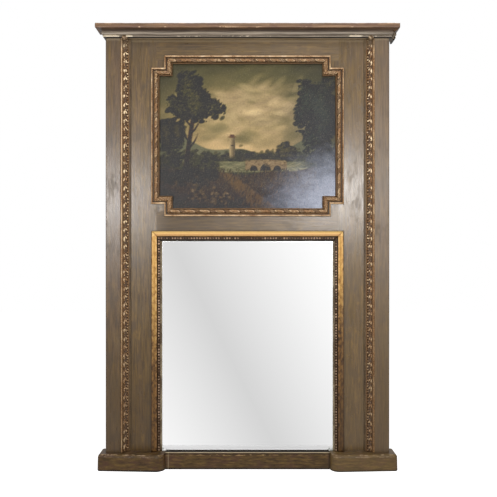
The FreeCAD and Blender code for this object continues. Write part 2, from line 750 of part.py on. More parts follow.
def gilt_frame():
    """Gilt band with a softened outer edge and a shallow hollow."""
    crest = GILT_PROUD
    outer = GILT_OUTER_RADIUS
    inner = GILT_INNER_RADIUS
    hollow_start = (GILT_FLAT_WIDTH, crest)
    hollow_end = (GILT_WIDTH - GILT_FLAT_WIDTH, crest)
    steps = [
        ((0, crest - outer),),
        ((ARC_INSET * outer, crest - ARC_INSET * outer), (outer, crest)),
        (hollow_start,),
        (arc_middle(hollow_start, hollow_end, -GILT_HOLLOW_DEPTH), hollow_end),
        ((GILT_WIDTH - inner, crest),),
        ((GILT_WIDTH - ARC_INSET * inner, crest - ARC_INSET * inner), (GILT_WIDTH, crest - inner)),
        ((GILT_WIDTH, 0),),
    ]
    legs = [mitred_leg(mirror_path(), i, GILT_WIDTH, (0, 0), steps, False) for i in range(3)]
    return {"mirror_frame_left": legs[0], "mirror_frame_top": legs[1], "mirror_frame_right": legs[2]}


def bead_mouldings():
    """Strip with a row of beads, between the gilt band and the plate, resting on the plate."""
    path = inset_path(mirror_path(), GILT_WIDTH, False)
    ridge = BEAD_CENTRE_INSET + BEAD_RADIUS
    steps = [
        ((0, BEAD_STRIP_PROUD),),
        ((ridge, BEAD_STRIP_PROUD),),
        ((ridge + BEAD_RIDGE, BEAD_STRIP_PROUD + BEAD_RIDGE),),
        ((BEAD_STRIP_WIDTH, BEAD_STRIP_TOE),),
        ((BEAD_STRIP_WIDTH, -GLASS_SETBACK),),
    ]
    strips = [mitred_leg(path, i, BEAD_STRIP_WIDTH, (0, -GLASS_SETBACK), steps, False) for i in range(3)]
    centre_y = FIELD_Y - BEAD_STRIP_PROUD - BEAD_CENTRE_RISE
    beads = inset_path(path, BEAD_CENTRE_INSET, False)
    half_bead = math.sqrt(BEAD_RADIUS ** 2 - BEAD_CORE_RADIUS ** 2)
    corner = beads[1]
    across = int((2 * abs(corner[0])) / BEAD_PITCH)
    pitch_x = 2 * abs(corner[0]) / across
    down = int((corner[1] - PLINTH_HEIGHT - BEAD_RADIUS) / BEAD_PITCH)
    top_row = spindle_chain(vec(corner[0], centre_y, corner[1]), vec(1, 0, 0), across + 1, pitch_x,
                            half_bead, BEAD_RADIUS, BEAD_CORE_RADIUS)
    side_rows = []
    for sign in (1, -1):
        start = vec(sign * corner[0], centre_y, corner[1] - BEAD_PITCH)
        side_rows.append(spindle_chain(start, vec(0, 0, -1), down, BEAD_PITCH, half_bead,
                                       BEAD_RADIUS, BEAD_CORE_RADIUS))
    left_cut = strips[0].fuse(side_rows[0])
    right_cut = strips[2].fuse(side_rows[1])
    top = strips[1].fuse(top_row).cut([left_cut, right_cut])
    return {"bead_moulding_left": left_cut, "bead_moulding_top": top, "bead_moulding_right": right_cut}


def mirror_plate():
    half = HALF_OPENING - GLASS_EDGE_CLEARANCE
    return box(-half, half, GLASS_Y, GLASS_Y + GLASS_THICK, LOWER_RAIL_HEIGHT,
               MIRROR_OPENING_TOP - GLASS_EDGE_CLEARANCE)


def glazing_blocks():
    """Triangular blocks, glued to the opening's edges, that press the plate forward."""
    front = GLASS_Y + GLASS_THICK
    size = GLAZING_BLOCK_SIZE
    length = GLAZING_BLOCK_LENGTH
    low = LOWER_RAIL_HEIGHT
    high = MIRROR_OPENING_TOP
    blocks = []
    for share in GLAZING_BLOCK_HEIGHTS:
        z = low + (high - low) * share - length / 2
        corner = [
            vec(HALF_OPENING, front, z),
            vec(HALF_OPENING - size, front, z),
            vec(HALF_OPENING, front + size, z),
        ]
        block = polygon_prism(corner, vec(0, 0, length))
        blocks.append(block)
        blocks.append(mirrored(block))
    for share in GLAZING_BLOCK_PLACES:
        x = HALF_OPENING * share - length / 2
        for level, inward_z in ((low, size), (high, -size)):
            corner = [vec(x, front, level), vec(x, front, level + inward_z), vec(x, front + size, level)]
            blocks.append(polygon_prism(corner, vec(length, 0, 0)))
    return Part.makeCompound(blocks)


# ---------------------------------------------------------------- back boards and screws

def screw(place, direction):
    """Countersunk wood screw. Its head lies flush with the face at place."""
    cone = Part.makeCone(SCREW_HEAD_RADIUS, SCREW_SHANK_RADIUS, SCREW_HEAD_DEPTH, place, direction)
    shank = Part.makeCylinder(SCREW_SHANK_RADIUS, SCREW_LENGTH, place, direction)
    return cone.fuse(shank).removeSplitter()


def screw_hole(place, direction):
    gap = SCREW_CLEARANCE
    cone = Part.makeCone(SCREW_HEAD_RADIUS + gap, SCREW_SHANK_RADIUS + gap, SCREW_HEAD_DEPTH + gap,
                         place, direction)
    shank = Part.makeCylinder(SCREW_SHANK_RADIUS + gap, SCREW_LENGTH + gap, place, direction)
    return cone.fuse(shank)


def screws(places):
    return Part.makeCompound([screw(place, vec(0, -1, 0)) for place in places])


def screw_holes(places):
    return Part.makeCompound([screw_hole(place, vec(0, -1, 0)) for place in places])


def board_edges(low, high):
    return low - BACK_REBATE_WIDTH + BACK_BOARD_GAP, high + BACK_REBATE_WIDTH - BACK_BOARD_GAP


def plank_limits(index):
    left, right = board_edges(-HALF_OPENING, HALF_OPENING)
    width = (right - left) / MIRROR_PLANKS
    return left + index * width + BACK_BOARD_GAP / 2, left + (index + 1) * width - BACK_BOARD_GAP / 2


def mirror_board_screw_places():
    z_low = LOWER_RAIL_HEIGHT - BACK_REBATE_WIDTH / 2
    z_high = MIRROR_OPENING_TOP + BACK_REBATE_WIDTH / 2
    places = []
    for index in range(MIRROR_PLANKS):
        left, right = plank_limits(index)
        for share in (0.25, 0.75):
            for z in (z_low, z_high):
                places.append(vec(left + (right - left) * share, BACK_Y, z))
    return places


def picture_board_screw_places():
    z_low = PICTURE_OPENING_BOTTOM - BACK_REBATE_WIDTH / 2
    z_high = PICTURE_OPENING_TOP + BACK_REBATE_WIDTH / 2
    places = []
    for share in (-0.75, -0.25, 0.25, 0.75):
        for z in (z_low, z_high):
            places.append(vec(HALF_OPENING * share, BACK_Y, z))
    return places


def mirror_back_planks(holes):
    z_low, z_high = board_edges(LOWER_RAIL_HEIGHT, MIRROR_OPENING_TOP)
    nodes = {}
    for index in range(MIRROR_PLANKS):
        left, right = plank_limits(index)
        plank = box(left, right, BACK_Y - BACK_BOARD_THICK, BACK_Y, z_low, z_high)
        nodes["mirror_back_plank_%d" % (index + 1)] = plank.cut(holes)
    return nodes


def picture_back_board(holes):
    left, right = board_edges(-HALF_OPENING, HALF_OPENING)
    z_low, z_high = board_edges(PICTURE_OPENING_BOTTOM, PICTURE_OPENING_TOP)
    return box(left, right, BACK_Y - BACK_BOARD_THICK, BACK_Y, z_low, z_high).cut(holes)


# ---------------------------------------------------------------- hanging rings

def knuckle_axis():
    """Y and Z of the hinge line, behind the back face and just under the plate."""
    return BACK_Y + RING_STAND_OFF + RING_WIRE_RADIUS, HANGER_Z - HANGER_KNUCKLE_DROP


def hanger_screw_places(sign):
    z = HANGER_Z + (HANGER_WRAP_RISE + HANGER_PLATE_HEIGHT) / 2
    offsets = (-HANGER_SCREW_SPACING / 2, HANGER_SCREW_SPACING / 2)
    return [vec(sign * HANGER_X + offset, BACK_Y + HANGER_PLATE_THICK, z) for offset in offsets]


def hanger_plate(sign):
    """Flat plate with a rolled knuckle at its lower edge."""
    x = sign * HANGER_X
    y_axis, z_axis = knuckle_axis()
    half_plate = HANGER_PLATE_WIDTH / 2
    half_knuckle = HANGER_KNUCKLE_LENGTH / 2
    plate = box(x - half_plate, x + half_plate, BACK_Y, BACK_Y + HANGER_PLATE_THICK,
                HANGER_Z, HANGER_Z + HANGER_PLATE_HEIGHT)
    start = vec(x - half_knuckle, y_axis, z_axis)
    end = vec(x + half_knuckle, y_axis, z_axis)
    knuckle = cylinder_between(start, end, KNUCKLE_RADIUS)
    wrap = box(x - half_knuckle, x + half_knuckle, BACK_Y, y_axis, z_axis, HANGER_Z + HANGER_WRAP_RISE)
    hole = cylinder_between(start, end, KNUCKLE_BORE_RADIUS)
    body = plate.fuse([knuckle, wrap]).removeSplitter()
    return body.cut([hole, screw_holes(hanger_screw_places(sign))])


def hanger_ring(sign):
    """D-shaped wire ring. Its straight bar turns in the knuckle."""
    x = sign * HANGER_X
    y, z = knuckle_axis()
    half = RING_HALF_WIDTH
    corner = RING_CORNER_RADIUS
    leg = RING_LEG_LENGTH
    bevel = corner * ARC_INSET

    def at(dx, dz):
        return vec(x + dx, y, z + dz)

    path = Part.Wire([
        Part.LineSegment(at(0, 0), at(half - corner, 0)).toShape(),
        Part.Arc(at(half - corner, 0), at(half - bevel, -bevel), at(half, -corner)).toShape(),
        Part.LineSegment(at(half, -corner), at(half, -leg)).toShape(),
        Part.Arc(at(half, -leg), at(0, -leg - half), at(-half, -leg)).toShape(),
        Part.LineSegment(at(-half, -leg), at(-half, -corner)).toShape(),
        Part.Arc(at(-half, -corner), at(-half + bevel, -bevel), at(-half + corner, 0)).toShape(),
        Part.LineSegment(at(-half + corner, 0), at(0, 0)).toShape(),
    ])
    section = Part.Wire([Part.makeCircle(RING_WIRE_RADIUS, at(0, 0), vec(1, 0, 0))])
    return path.makePipeShell([section], True, False)


# ---------------------------------------------------------------- assembly

def build():
    nodes = rails()
    rail_shapes = list(nodes.values())
    nodes.update(both_sides("field_stile", field_stile(rail_shapes)))
    nodes.update(both_sides("pilaster", pilaster()))
    nodes["cornice_backing"] = cornice_backing()
    nodes.update(both_sides("carved_strip", carved_strip()))
    nodes.update(both_sides("plinth_block", plinth_block()))
    nodes["base_rail"] = base_rail()
    nodes["cornice_front"] = cornice_front()
    nodes["cornice_return_left"] = mirrored(cornice_return())
    nodes["cornice_return_right"] = tilted_return()
    nodes.update(picture_frame())
    nodes.update(spandrels())
    nodes["painted_canvas"] = canvas()
    nodes.update(stretcher())
    nodes.update(gilt_frame())
    nodes.update(bead_mouldings())
    nodes["mirror_plate"] = mirror_plate()
    nodes["glazing_blocks"] = glazing_blocks()
    board_places = mirror_board_screw_places() + picture_board_screw_places()
    board_holes = screw_holes(board_places)
    for name in ("lower_rail", "middle_rail", "frieze_rail"):
        nodes[name] = nodes[name].cut(board_holes)
    nodes.update(mirror_back_planks(board_holes))
    nodes["picture_back_board"] = picture_back_board(board_holes)
    nodes["back_board_screws"] = screws(board_places)
    nodes["hanger_screws"] = screws(hanger_screw_places(1) + hanger_screw_places(-1))
    for side, sign in (("right", 1), ("left", -1)):
        nodes["hanger_plate_" + side] = hanger_plate(sign)
        nodes["hanger_ring_" + side] = hanger_ring(sign)
    return nodes


os.makedirs("parts", exist_ok=True)
for node_name, node_shape in build().items():
    node_shape.exportStep("parts/%s.step" % node_name)
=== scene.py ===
import math
import bpy
import numpy as np
from mathutils import Matrix, Vector


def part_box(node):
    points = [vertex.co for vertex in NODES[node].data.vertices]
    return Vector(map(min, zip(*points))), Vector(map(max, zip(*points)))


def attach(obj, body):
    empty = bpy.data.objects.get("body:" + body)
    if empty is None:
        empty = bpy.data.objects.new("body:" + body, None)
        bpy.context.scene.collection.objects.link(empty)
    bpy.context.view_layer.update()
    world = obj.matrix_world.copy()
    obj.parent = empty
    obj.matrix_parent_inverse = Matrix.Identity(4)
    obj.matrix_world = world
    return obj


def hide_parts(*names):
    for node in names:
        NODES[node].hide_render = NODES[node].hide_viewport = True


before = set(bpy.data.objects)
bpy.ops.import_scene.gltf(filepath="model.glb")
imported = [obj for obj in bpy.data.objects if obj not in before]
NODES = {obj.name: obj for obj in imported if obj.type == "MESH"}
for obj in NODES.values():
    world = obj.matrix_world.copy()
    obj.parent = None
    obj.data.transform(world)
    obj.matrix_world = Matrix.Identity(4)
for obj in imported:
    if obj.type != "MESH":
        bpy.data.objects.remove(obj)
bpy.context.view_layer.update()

# Places in metres, from the frame. The gilt band's top member begins at GILT_TOP_FOOT, and the
# plate shows as far as SIGHT_HALF and SIGHT_TOP.
PAINT_FACE_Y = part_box("field_stile_left")[0].y
BACK_FACE_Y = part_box("field_stile_left")[1].y
PILASTER_FACE_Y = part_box("pilaster_left")[0].y
PLINTH_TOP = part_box("pilaster_left")[0].z
HALF_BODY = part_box("pilaster_right")[1].x
CORNICE_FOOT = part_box("cornice_backing")[0].z
BODY_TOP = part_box("cornice_backing")[1].z

GILT_TOP_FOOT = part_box("mirror_frame_top")[0].z
SIGHT_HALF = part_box("bead_moulding_right")[0].x
SIGHT_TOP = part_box("bead_moulding_top")[0].z

# Mouldings are drawn in millimetres, and everything else in metres.
MM = 0.001


def in_mm(metres):
    """Millimetres, without the tail that the frame's single precision leaves."""
    return round(metres / MM, 3)


# ---------------------------------------------------------------- colours and shader sums

def linear(level):
    """The light that a screen level from 0 to 1 stands for."""
    return np.where(level <= 0.04045, level / 12.92, ((level + 0.055) / 1.055) ** 2.4)


def shade(red, green, blue):
    """A colour given from 0 to 255, as the renderer's linear colour."""
    return (*linear(np.array((red, green, blue)) / 255).tolist(), 1.0)


WHITE = (1.0, 1.0, 1.0, 1.0)


class Tone:
    """One shader socket that takes part in Python sums."""

    def __init__(self, nodes, socket):
        self.nodes = nodes
        self.socket = socket

    def __add__(self, other):
        return self.nodes.sum_of("ADD", self, other)

    def __radd__(self, other):
        return self.nodes.sum_of("ADD", other, self)

    def __sub__(self, other):
        return self.nodes.sum_of("SUBTRACT", self, other)

    def __rsub__(self, other):
        return self.nodes.sum_of("SUBTRACT", other, self)

    def __mul__(self, other):
        return self.nodes.sum_of("MULTIPLY", self, other)

    def __rmul__(self, other):
        return self.nodes.sum_of("MULTIPLY", other, self)

    def __abs__(self):
        return self.nodes.sum_of("ABSOLUTE", self)


def set_stops(ramp, stops):
    """The colours of a ramp, each with its position."""
    while len(ramp.elements) > 1:
        ramp.elements.remove(ramp.elements[-1])
    ramp.elements[0].position, ramp.elements[0].color = stops[0]
    for position, colour in stops[1:]:
        ramp.elements.new(position).color = colour


class Nodes:
    """The nodes of a material or of the world."""

    def __init__(self, owner):
        owner.use_nodes = True
        self.tree = owner.node_tree
        self.tree.nodes.clear()

    def add(self, kind, settings=None, sockets=None, output=0):
        """One node, with its settings and then the values or links of its sockets."""
        node = self.tree.nodes.new(kind)
        for key, value in (settings or {}).items():
            if key == "stops":
                set_stops(node.color_ramp, value)
            else:
                setattr(node, key, value)
        for key, value in (sockets or {}).items():
            if isinstance(value, Tone):
                self.tree.links.new(value.socket, node.inputs[key])
            else:
                node.inputs[key].default_value = value
        return Tone(self, node.outputs[output])

    def sum_of(self, operation, *values):
        return self.add("ShaderNodeMath", {"operation": operation}, dict(enumerate(values)))

    def end(self, kind, shader):
        self.tree.links.new(shader.socket, self.tree.nodes.new(kind).inputs["Surface"])


class Finish(Nodes):
    """One material and the nodes that make it."""

    def __init__(self, name):
        self.material = bpy.data.materials.new(name)
        super().__init__(self.material)
        self.place = self.add("ShaderNodeTexCoord", output="Object")

    def mix(self, factor, first, second, blend="MIX"):
        settings = {"data_type": "RGBA", "blend_type": blend}
        return self.add("ShaderNodeMix", settings, {0: factor, 6: first, 7: second}, output=2)

    def ramp(self, value, stops):
        return self.add("ShaderNodeValToRGB", {"stops": stops}, {0: value})

    def step(self, value, low, high):
        """0 below low and 1 above high, with a soft rise between."""
        settings = {"interpolation_type": "SMOOTHSTEP"}
        return self.add("ShaderNodeMapRange", settings, {0: value, 1: low, 2: high})

    def fade(self, value, low, high):
        """1 below low and 0 above high, with a soft fall between."""
        return 1.0 - self.step(value, low, high)

    def near(self, value, middle, full, gone):
        """1 where value is within full of middle, and 0 where it is further off than gone."""
        return self.fade(abs(value - middle), full, gone)

    def graded(self, value, low, high, first, second):
        """The first colour where value is below low, and the second where it is above high."""
        return self.mix(self.step(value, low, high), first, second)

    def shaded_in_hollows(self, colour, distance, low, high, amount, hollow_shade):
        """The colour, darkened where other surfaces within the distance close it in: painted shade in
        hollows.
        """
        return self.mix(self.fade(self.hollow(distance), low, high) * amount, colour, hollow_shade)

    def noise(self, scale, detail=4.0, roughness=0.55, distortion=0.0):
        sockets = {"Vector": self.scaled(scale), "Scale": 1.0, "Detail": detail,
                   "Roughness": roughness, "Distortion": distortion}
        return self.add("ShaderNodeTexNoise", None, sockets)

    def scaled(self, scale):
        settings = {"operation": "MULTIPLY"}
        return self.add("ShaderNodeVectorMath", settings, {0: self.place, 1: scale})

    def axis(self, name):
        return self.add("ShaderNodeSeparateXYZ", None, {0: self.place}, output=name)

    def layer(self, name):
        return self.add("ShaderNodeAttribute", {"attribute_name": name}, output="Fac")

    def hollow(self, distance):
        """1 in the open and 0 deep in a hollow."""
        settings = {"samples": 8}
        return self.add("ShaderNodeAmbientOcclusion", settings, {"Distance": distance}, output="AO")

    def surface(self, sockets, bump=None, depth=0.0):
        if bump is not None:
            normal = self.add("ShaderNodeBump", None, {"Height": bump, "Distance": depth})
            sockets = {**sockets, "Normal": normal}
        self.end("ShaderNodeOutputMaterial", self.add("ShaderNodeBsdfPrincipled", None, sockets))
        return self.material


# ---------------------------------------------------------------- finishes

def along(axis, fine, slow):
    """Scale of a pattern drawn out along one axis."""
    scale = [fine, fine, fine]
    scale["xyz".index(axis)] = slow
    return tuple(scale)


def brushed_ground(coat, fine, tinted):
    """Olive paint in fine streaks, browner where tinted is high."""
    olive = coat.graded(fine, 0.28, 0.72, shade(66, 48, 20), shade(112, 87, 45))
    brown = coat.graded(fine, 0.28, 0.72, shade(68, 50, 34), shade(110, 87, 62))
    return coat.graded(tinted, 0.37, 0.63, olive, brown)


def darker_ends(coat, colour, blot, smoke, side, foot):
    """Browner and warmer towards the foot, and darker towards the cornice, most on the left."""
    height = coat.axis("Z")
    low = coat.fade(height + (blot - 0.5) * 0.3, 0.10, 0.85) * foot
    colour = coat.mix(low, colour, shade(52, 33, 4))
    warm = coat.fade(height, 0.20, 1.0) * 0.8
    colour = coat.mix(warm, colour, (1.0, 0.95, 0.66, 1.0), "MULTIPLY")
    high = coat.step(height + (smoke - 0.5) * 0.2, 1.38, 1.58) * (1.0 - side * 0.6) * 0.20
    return coat.mix(high, colour, shade(50, 36, 22))


def aged_paint(name, axis, tint=0.0, arris=False, dull=0.0, foot=0.45,
               shaded_left=0.0, dull_left=0.0, lit_right=0.0):
    """Old olive-brown paint, brushed and rubbed along the board.

    tint 1 is greyer and redder, arris darkens the body's outer edge, dull roughens the whole
    coat, and foot is how brown it gets below. The last three darken its left part as painted
    shade, roughen that left part, and pale its right part as painted light.
    """
    coat = Finish(name)
    fine = coat.noise(along(axis, 230.0, 12.0), 5.0, 0.66)
    broad = coat.noise(along(axis, 46.0, 4.4), 4.0, 0.6, 0.8)
    cloud = coat.noise((11.0, 11.0, 8.0), 5.0, 0.62)
    blot = coat.noise(along(axis, 62.0, 20.0), 4.0, 0.62, 0.8)
    smoke = coat.noise((15.0, 15.0, 10.0), 3.0, 0.5)
    across = coat.axis("X")
    side = coat.step(across, -0.28, 0.16)
    colour = brushed_ground(coat, fine, broad + (tint - 0.5) * 0.14)
    colour = coat.mix(coat.step(cloud, 0.46, 0.66) * 0.40, colour, shade(88, 74, 58))
    gold = coat.step(broad * 0.3 + fine * 0.25 + blot * 0.45, 0.50, 0.64) * (0.74 - tint * 0.5)
    colour = coat.mix(gold, colour, shade(128, 100, 52))
    dark = coat.step(1.0 - cloud, 0.48, 0.66) * coat.step(blot, 0.42, 0.60) * 0.62
    colour = coat.mix(dark, colour, shade(52, 38, 22))
    colour = coat.mix(coat.step(smoke, 0.56, 0.68) * 0.42, colour, shade(72, 60, 50))
    colour = darker_ends(coat, colour, blot, smoke, side, foot)
    gloss = 0.24 + dull + coat.noise(along(axis, 90.0, 9.0), 3.0) * 0.09 + dark * 0.14
    # Painted shade: a darker left part.
    if shaded_left:
        left = (1.0 - side) * coat.step(across, -0.39, -0.28)
        colour = coat.mix(left * shaded_left, colour, shade(50, 36, 20))
        gloss = gloss + left * dull_left
    # Painted light: a paler right part.
    if lit_right:
        colour = coat.mix(side * lit_right, colour, shade(156, 134, 102))
    # Painted shade in hollows and beside raised parts.
    colour = coat.shaded_in_hollows(colour, 0.018, 0.40, 0.98, 0.34, shade(44, 34, 22))
    # A pale line just under the cornice: a painted highlight.
    under_cornice = CORNICE_FOOT - 10.5 * MM
    crest = coat.step(coat.axis("Z") + (blot - 0.5) * 0.004, under_cornice, under_cornice + 5 * MM)
    colour = coat.mix(crest * 0.28, colour, shade(166, 148, 118))
    if arris:
        line = coat.step(abs(across), HALF_BODY - 4 * MM, HALF_BODY - 1 * MM) * 0.7
        colour = coat.mix(line, colour, shade(48, 34, 30))
    return coat.surface({"Base Color": colour, "Roughness": gloss, "Specular IOR Level": 0.45},
                        fine * 0.6 + broad * 0.4, 0.0004)


def lit_packing_paint(name):
    """Paint on the board behind the cornice, of which only the underside is seen. Its pale colour is
    painted light on that underside, and it is darker near the bead as painted shade.
    """
    coat = Finish(name)
    fine = coat.noise((7.0, 90.0, 90.0), 4.0)
    colour = coat.graded(fine, 0.3, 0.7, shade(138, 118, 90), shade(182, 160, 128))
    # Painted shade in hollows and beside raised parts.
    colour = coat.shaded_in_hollows(colour, 0.012, 0.45, 1.0, 0.75, shade(40, 30, 20))
    return coat.surface({"Base Color": colour, "Roughness": 0.6, "Specular IOR Level": 0.3}, fine, 0.0004)


LEDGE_RIDGE, LIP_SHADOW_FOOT, LEDGE_CROWN = 0.0525, 0.0545, 0.0612


def worn_ledge(coat, colour, across, height, chips, cloud):
    """The ledge's chipped ridge, a painted shadow under its lip, its pale crown, darker towards the
    plate, a painted shadow beside the right block, and how dull it is towards the plate.
    """
    ridge = coat.near(height, LEDGE_RIDGE, 0.0014, 0.0030)
    centre = coat.near(across, -0.05, 0.11, 0.16)
    colour = coat.mix(ridge * chips * (0.25 + centre * 0.6), colour, shade(158, 128, 84))
    joint = coat.near(across, -0.2905, 0.0012, 0.0024)
    colour = coat.mix(joint * 0.4, colour, shade(150, 134, 106))
    # Painted shadow under the lip.
    lip_shadow = coat.step(height, LIP_SHADOW_FOOT, LIP_SHADOW_FOOT + 0.0015) * coat.fade(height, 0.0578, 0.0590)
    colour = coat.mix(lip_shadow * 0.85, colour, shade(22, 15, 8))
    crown = coat.step(height, LEDGE_CROWN, LEDGE_CROWN + 0.0012)
    colour = coat.mix(crown, colour, shade(176, 160, 130))
    inward = coat.step(coat.axis("Y"), PILASTER_FACE_Y - 0.0062, PILASTER_FACE_Y - 0.0050) * crown
    colour = coat.mix(inward, colour, shade(26, 19, 12))
    # Painted shadow on the ledge beside the right block.
    corner = coat.step(across + (cloud - 0.5) * 0.02, 0.292, 0.304)
    return coat.mix(corner * 0.7, colour, shade(36, 25, 15)), inward * 0.45


def plinth_paint(name, ledge=False):
    """The darker, chipped paint of the base, with pale chips and a painted highlight along its top
    edge, and a painted contact shadow along its foot.
    """
    coat = Finish(name)
    fine = coat.noise((26.0, 60.0, 150.0), 5.0, 0.66)
    cloud = coat.noise((20.0, 22.0, 34.0), 4.0, 0.66)
    across = coat.axis("X")
    height = coat.axis("Z")
    colour = coat.graded(fine, 0.32, 0.68, shade(46, 31, 13), shade(92, 70, 36))
    colour = coat.mix(coat.step(cloud, 0.45, 0.62) * 0.75, colour, shade(72, 48, 34))
    gold = coat.step(cloud * 0.4 + fine * 0.6, 0.52, 0.64) * 0.36
    colour = coat.mix(gold, colour, shade(112, 88, 42))
    chips = coat.step(coat.noise((60.0, 60.0, 260.0), 3.0) + (cloud - 0.5) * 0.5, 0.50, 0.62)
    # Pale chips, and a painted highlight where the wear layer marks the top edge's rounding.
    worn = coat.step(coat.layer("wear") + (chips - 0.5) * 0.9, 0.40, 1.10) * 0.68
    colour = coat.mix(worn, colour, shade(172, 148, 120))
    # Painted contact shadow along the foot.
    foot = coat.fade(height, 0.0030, 0.0085) * 0.9
    colour = coat.mix(foot, colour, shade(20, 15, 10))
    rough = 0.44 + cloud * 0.08
    if ledge:
        colour, dull = worn_ledge(coat, colour, across, height, chips, cloud)
        rough = rough + dull
    else:
        colour = coat.mix(coat.step(across, 0.0, 0.1) * 0.24, colour, shade(132, 110, 74))
    # Painted shade in hollows and beside raised parts.
    colour = coat.shaded_in_hollows(colour, 0.014, 0.35, 0.98, 0.6, shade(32, 23, 13))
    return coat.surface({"Base Color": colour, "Roughness": rough, "Specular IOR Level": 0.22},
                        fine, 0.0007)


def carved_paint(name, gold, deep=0.9, plain=None):
    """Bronze paint over carving: dark hollows, rubbed gold on whatever stands up.

    deep is how dark the hollows are, and plain is where across the moulding its carving ends.
    """
    coat = Finish(name)
    place = coat.axis("Z")
    height = coat.layer("relief")
    wear = coat.layer("wear")
    speck = coat.noise((280.0, 280.0, 280.0), 4.0, 0.6)
    patch = coat.noise((34.0, 34.0, 17.0), 3.0, 0.5)
    rise = 0.34 + coat.step(place, 0.35, 1.15) * 0.66
    colour = coat.graded(speck, 0.35, 0.65, shade(112, 76, 44), shade(160, 122, 80))
    colour = coat.mix(coat.step(patch, 0.45, 0.6) * 0.4, colour, shade(122, 96, 58))
    for value, specks, patches, low, high, amount, rubbed in (
            (height, 1.7, 1.0, 0.50, 0.80, gold, shade(246, 220, 180)),
            (wear, 0.9, 1.3, 0.46, 0.92, 0.85, shade(206, 172, 132)),
            (wear, 0.5, 2.2, 0.96, 1.22, 0.8, shade(232, 206, 168))):
        uneven = (speck - 0.5) * specks + (patch - 0.5) * patches
        colour = coat.mix(coat.step(value + uneven, low, high) * amount * rise, colour, rubbed)
    if plain is not None:
        board = coat.graded(speck * 0.5 + patch * 0.5, 0.40, 0.60, shade(62, 46, 26), shade(96, 77, 50))
        colour = coat.graded(coat.layer("across"), plain, plain + 0.01, colour, board)
    low = coat.fade(height + (speck - 0.5) * 0.35, 0.04, 0.38)
    low = low * coat.step(coat.layer("carved"), 0.5, 1.0)
    colour = coat.mix(low * deep, colour, shade(36, 19, 8))
    colour = coat.mix(coat.layer("shadow") * 0.9, colour, shade(38, 21, 9))
    # Painted shade in hollows and beside raised parts.
    colour = coat.shaded_in_hollows(colour, 0.005, 0.3, 0.95, 0.7, shade(46, 28, 15))
    colour = coat.mix(coat.fade(place, 0.10, 0.75) * 0.30, colour, shade(46, 31, 12))
    crest = coat.step(place + (patch - 0.5) * 0.02, 1.540, 1.562) * 0.66
    colour = coat.mix(crest, colour, shade(104, 86, 64))
    return coat.surface({"Base Color": colour, "Roughness": 0.40, "Specular IOR Level": 0.30},
                        speck, 0.0005)


def gilding(name):
    """Water gilding rubbed to bole and pale ground, bright above and dull towards the foot. The top
    member carries painted light and shade across its face, and its outer edge a painted shadow line.
    """
    coat = Finish(name)
    across = coat.layer("across")
    mottle = coat.noise((95.0, 95.0, 60.0), 5.0, 0.62, 0.4)
    fine = coat.noise((260.0, 260.0, 140.0), 3.0)
    height = coat.axis("Z")
    right = coat.step(coat.axis("X"), 0.0, 0.1)
    gold = coat.ramp(mottle, [(0.30, shade(146, 102, 46)), (0.44, shade(176, 130, 64)),
                              (0.56, shade(194, 150, 80)), (0.72, shade(178, 146, 68))])
    dull = coat.ramp(mottle, [(0.30, shade(44, 27, 9)), (0.46, shade(82, 55, 24)),
                              (0.58, shade(118, 84, 38)), (0.74, shade(80, 62, 28))])
    dull = coat.mix(right * 0.12, dull, shade(48, 32, 18))
    rise = coat.step(height + (mottle - 0.5) * 0.25, 0.30 + right * 0.16, 0.80)
    colour = coat.mix(rise, dull, gold)
    level = coat.step(height, GILT_TOP_FOOT, GILT_TOP_FOOT + 1 * MM)
    arris = coat.near(abs(across - 0.5), 0.38, 0.03, 0.14)
    arris = arris * coat.step(mottle + (fine - 0.5) * 0.5, 0.38, 0.58)
    pale = coat.mix(rise, shade(140, 100, 60), shade(232, 188, 128))
    colour = coat.mix(arris * (0.8 - level * 0.6), colour, pale)
    # Painted light and shade on the top member: paler on its upper face, darker on its lower.
    top_light_and_shade = coat.ramp(across, [(0.0, shade(128, 96, 46)), (0.16, shade(214, 176, 106)),
                                (0.50, shade(222, 182, 114)), (0.62, shade(178, 130, 78)),
                                (0.80, shade(194, 150, 96)), (0.92, shade(120, 80, 42))])
    colour = coat.mix(level * (0.55 + fine * 0.5), colour, top_light_and_shade)
    # A painted shadow line along the outer edge.
    edge = coat.fade(across, 0.125 + level * 0.02, 0.165 + level * 0.03)
    colour = coat.mix(edge * 0.8, colour, shade(60, 42, 26))
    foot = coat.fade(height, 0.12, 0.42) * (0.22 + right * 0.28)
    colour = coat.mix(foot, colour, shade(42, 28, 14))
    # Painted shade in hollows and beside raised parts.
    colour = coat.shaded_in_hollows(colour, 0.005, 0.3, 0.95, 0.8, shade(56, 34, 14))
    return coat.surface({"Base Color": colour, "Roughness": 0.42, "Metallic": 0.10,
                         "Specular IOR Level": 0.3}, mottle * 0.7 + fine * 0.3, 0.0006)


def beaded_paint(name):
    """Dull brown paint on the beads, pink-brown on their crowns, grey towards the plate."""
    coat = Finish(name)
    across = coat.layer("across")
    place = coat.axis("Z")
    speck = coat.noise((230.0, 230.0, 230.0), 3.0)
    patch = coat.noise((60.0, 60.0, 22.0), 3.0)
    colour = coat.graded(speck, 0.4, 0.6, shade(50, 32, 16), shade(74, 52, 32))
    crown = coat.step(coat.layer("relief") + (patch - 0.5) * 0.7, 0.35, 0.80)
    rise = 0.5 + coat.step(place, 0.2, 0.9) * 0.5
    top_row = coat.step(place, SIGHT_TOP - 0.3 * MM, SIGHT_TOP + 0.5 * MM)
    colour = coat.mix(crown * rise * (1.0 - top_row * 0.2), colour, shade(192, 160, 132))
    grey = coat.graded(patch, 0.4, 0.6, shade(84, 70, 50), shade(132, 118, 94))
    colour = coat.graded(across, 0.66, 0.74, colour, grey)
    level = top_row * coat.step(across, 0.60, 0.66)
    colour = coat.mix(level * 0.9, colour, shade(28, 20, 14))
    return coat.surface({"Base Color": colour, "Roughness": 0.45, "Specular IOR Level": 0.25},
                        speck, 0.0003)


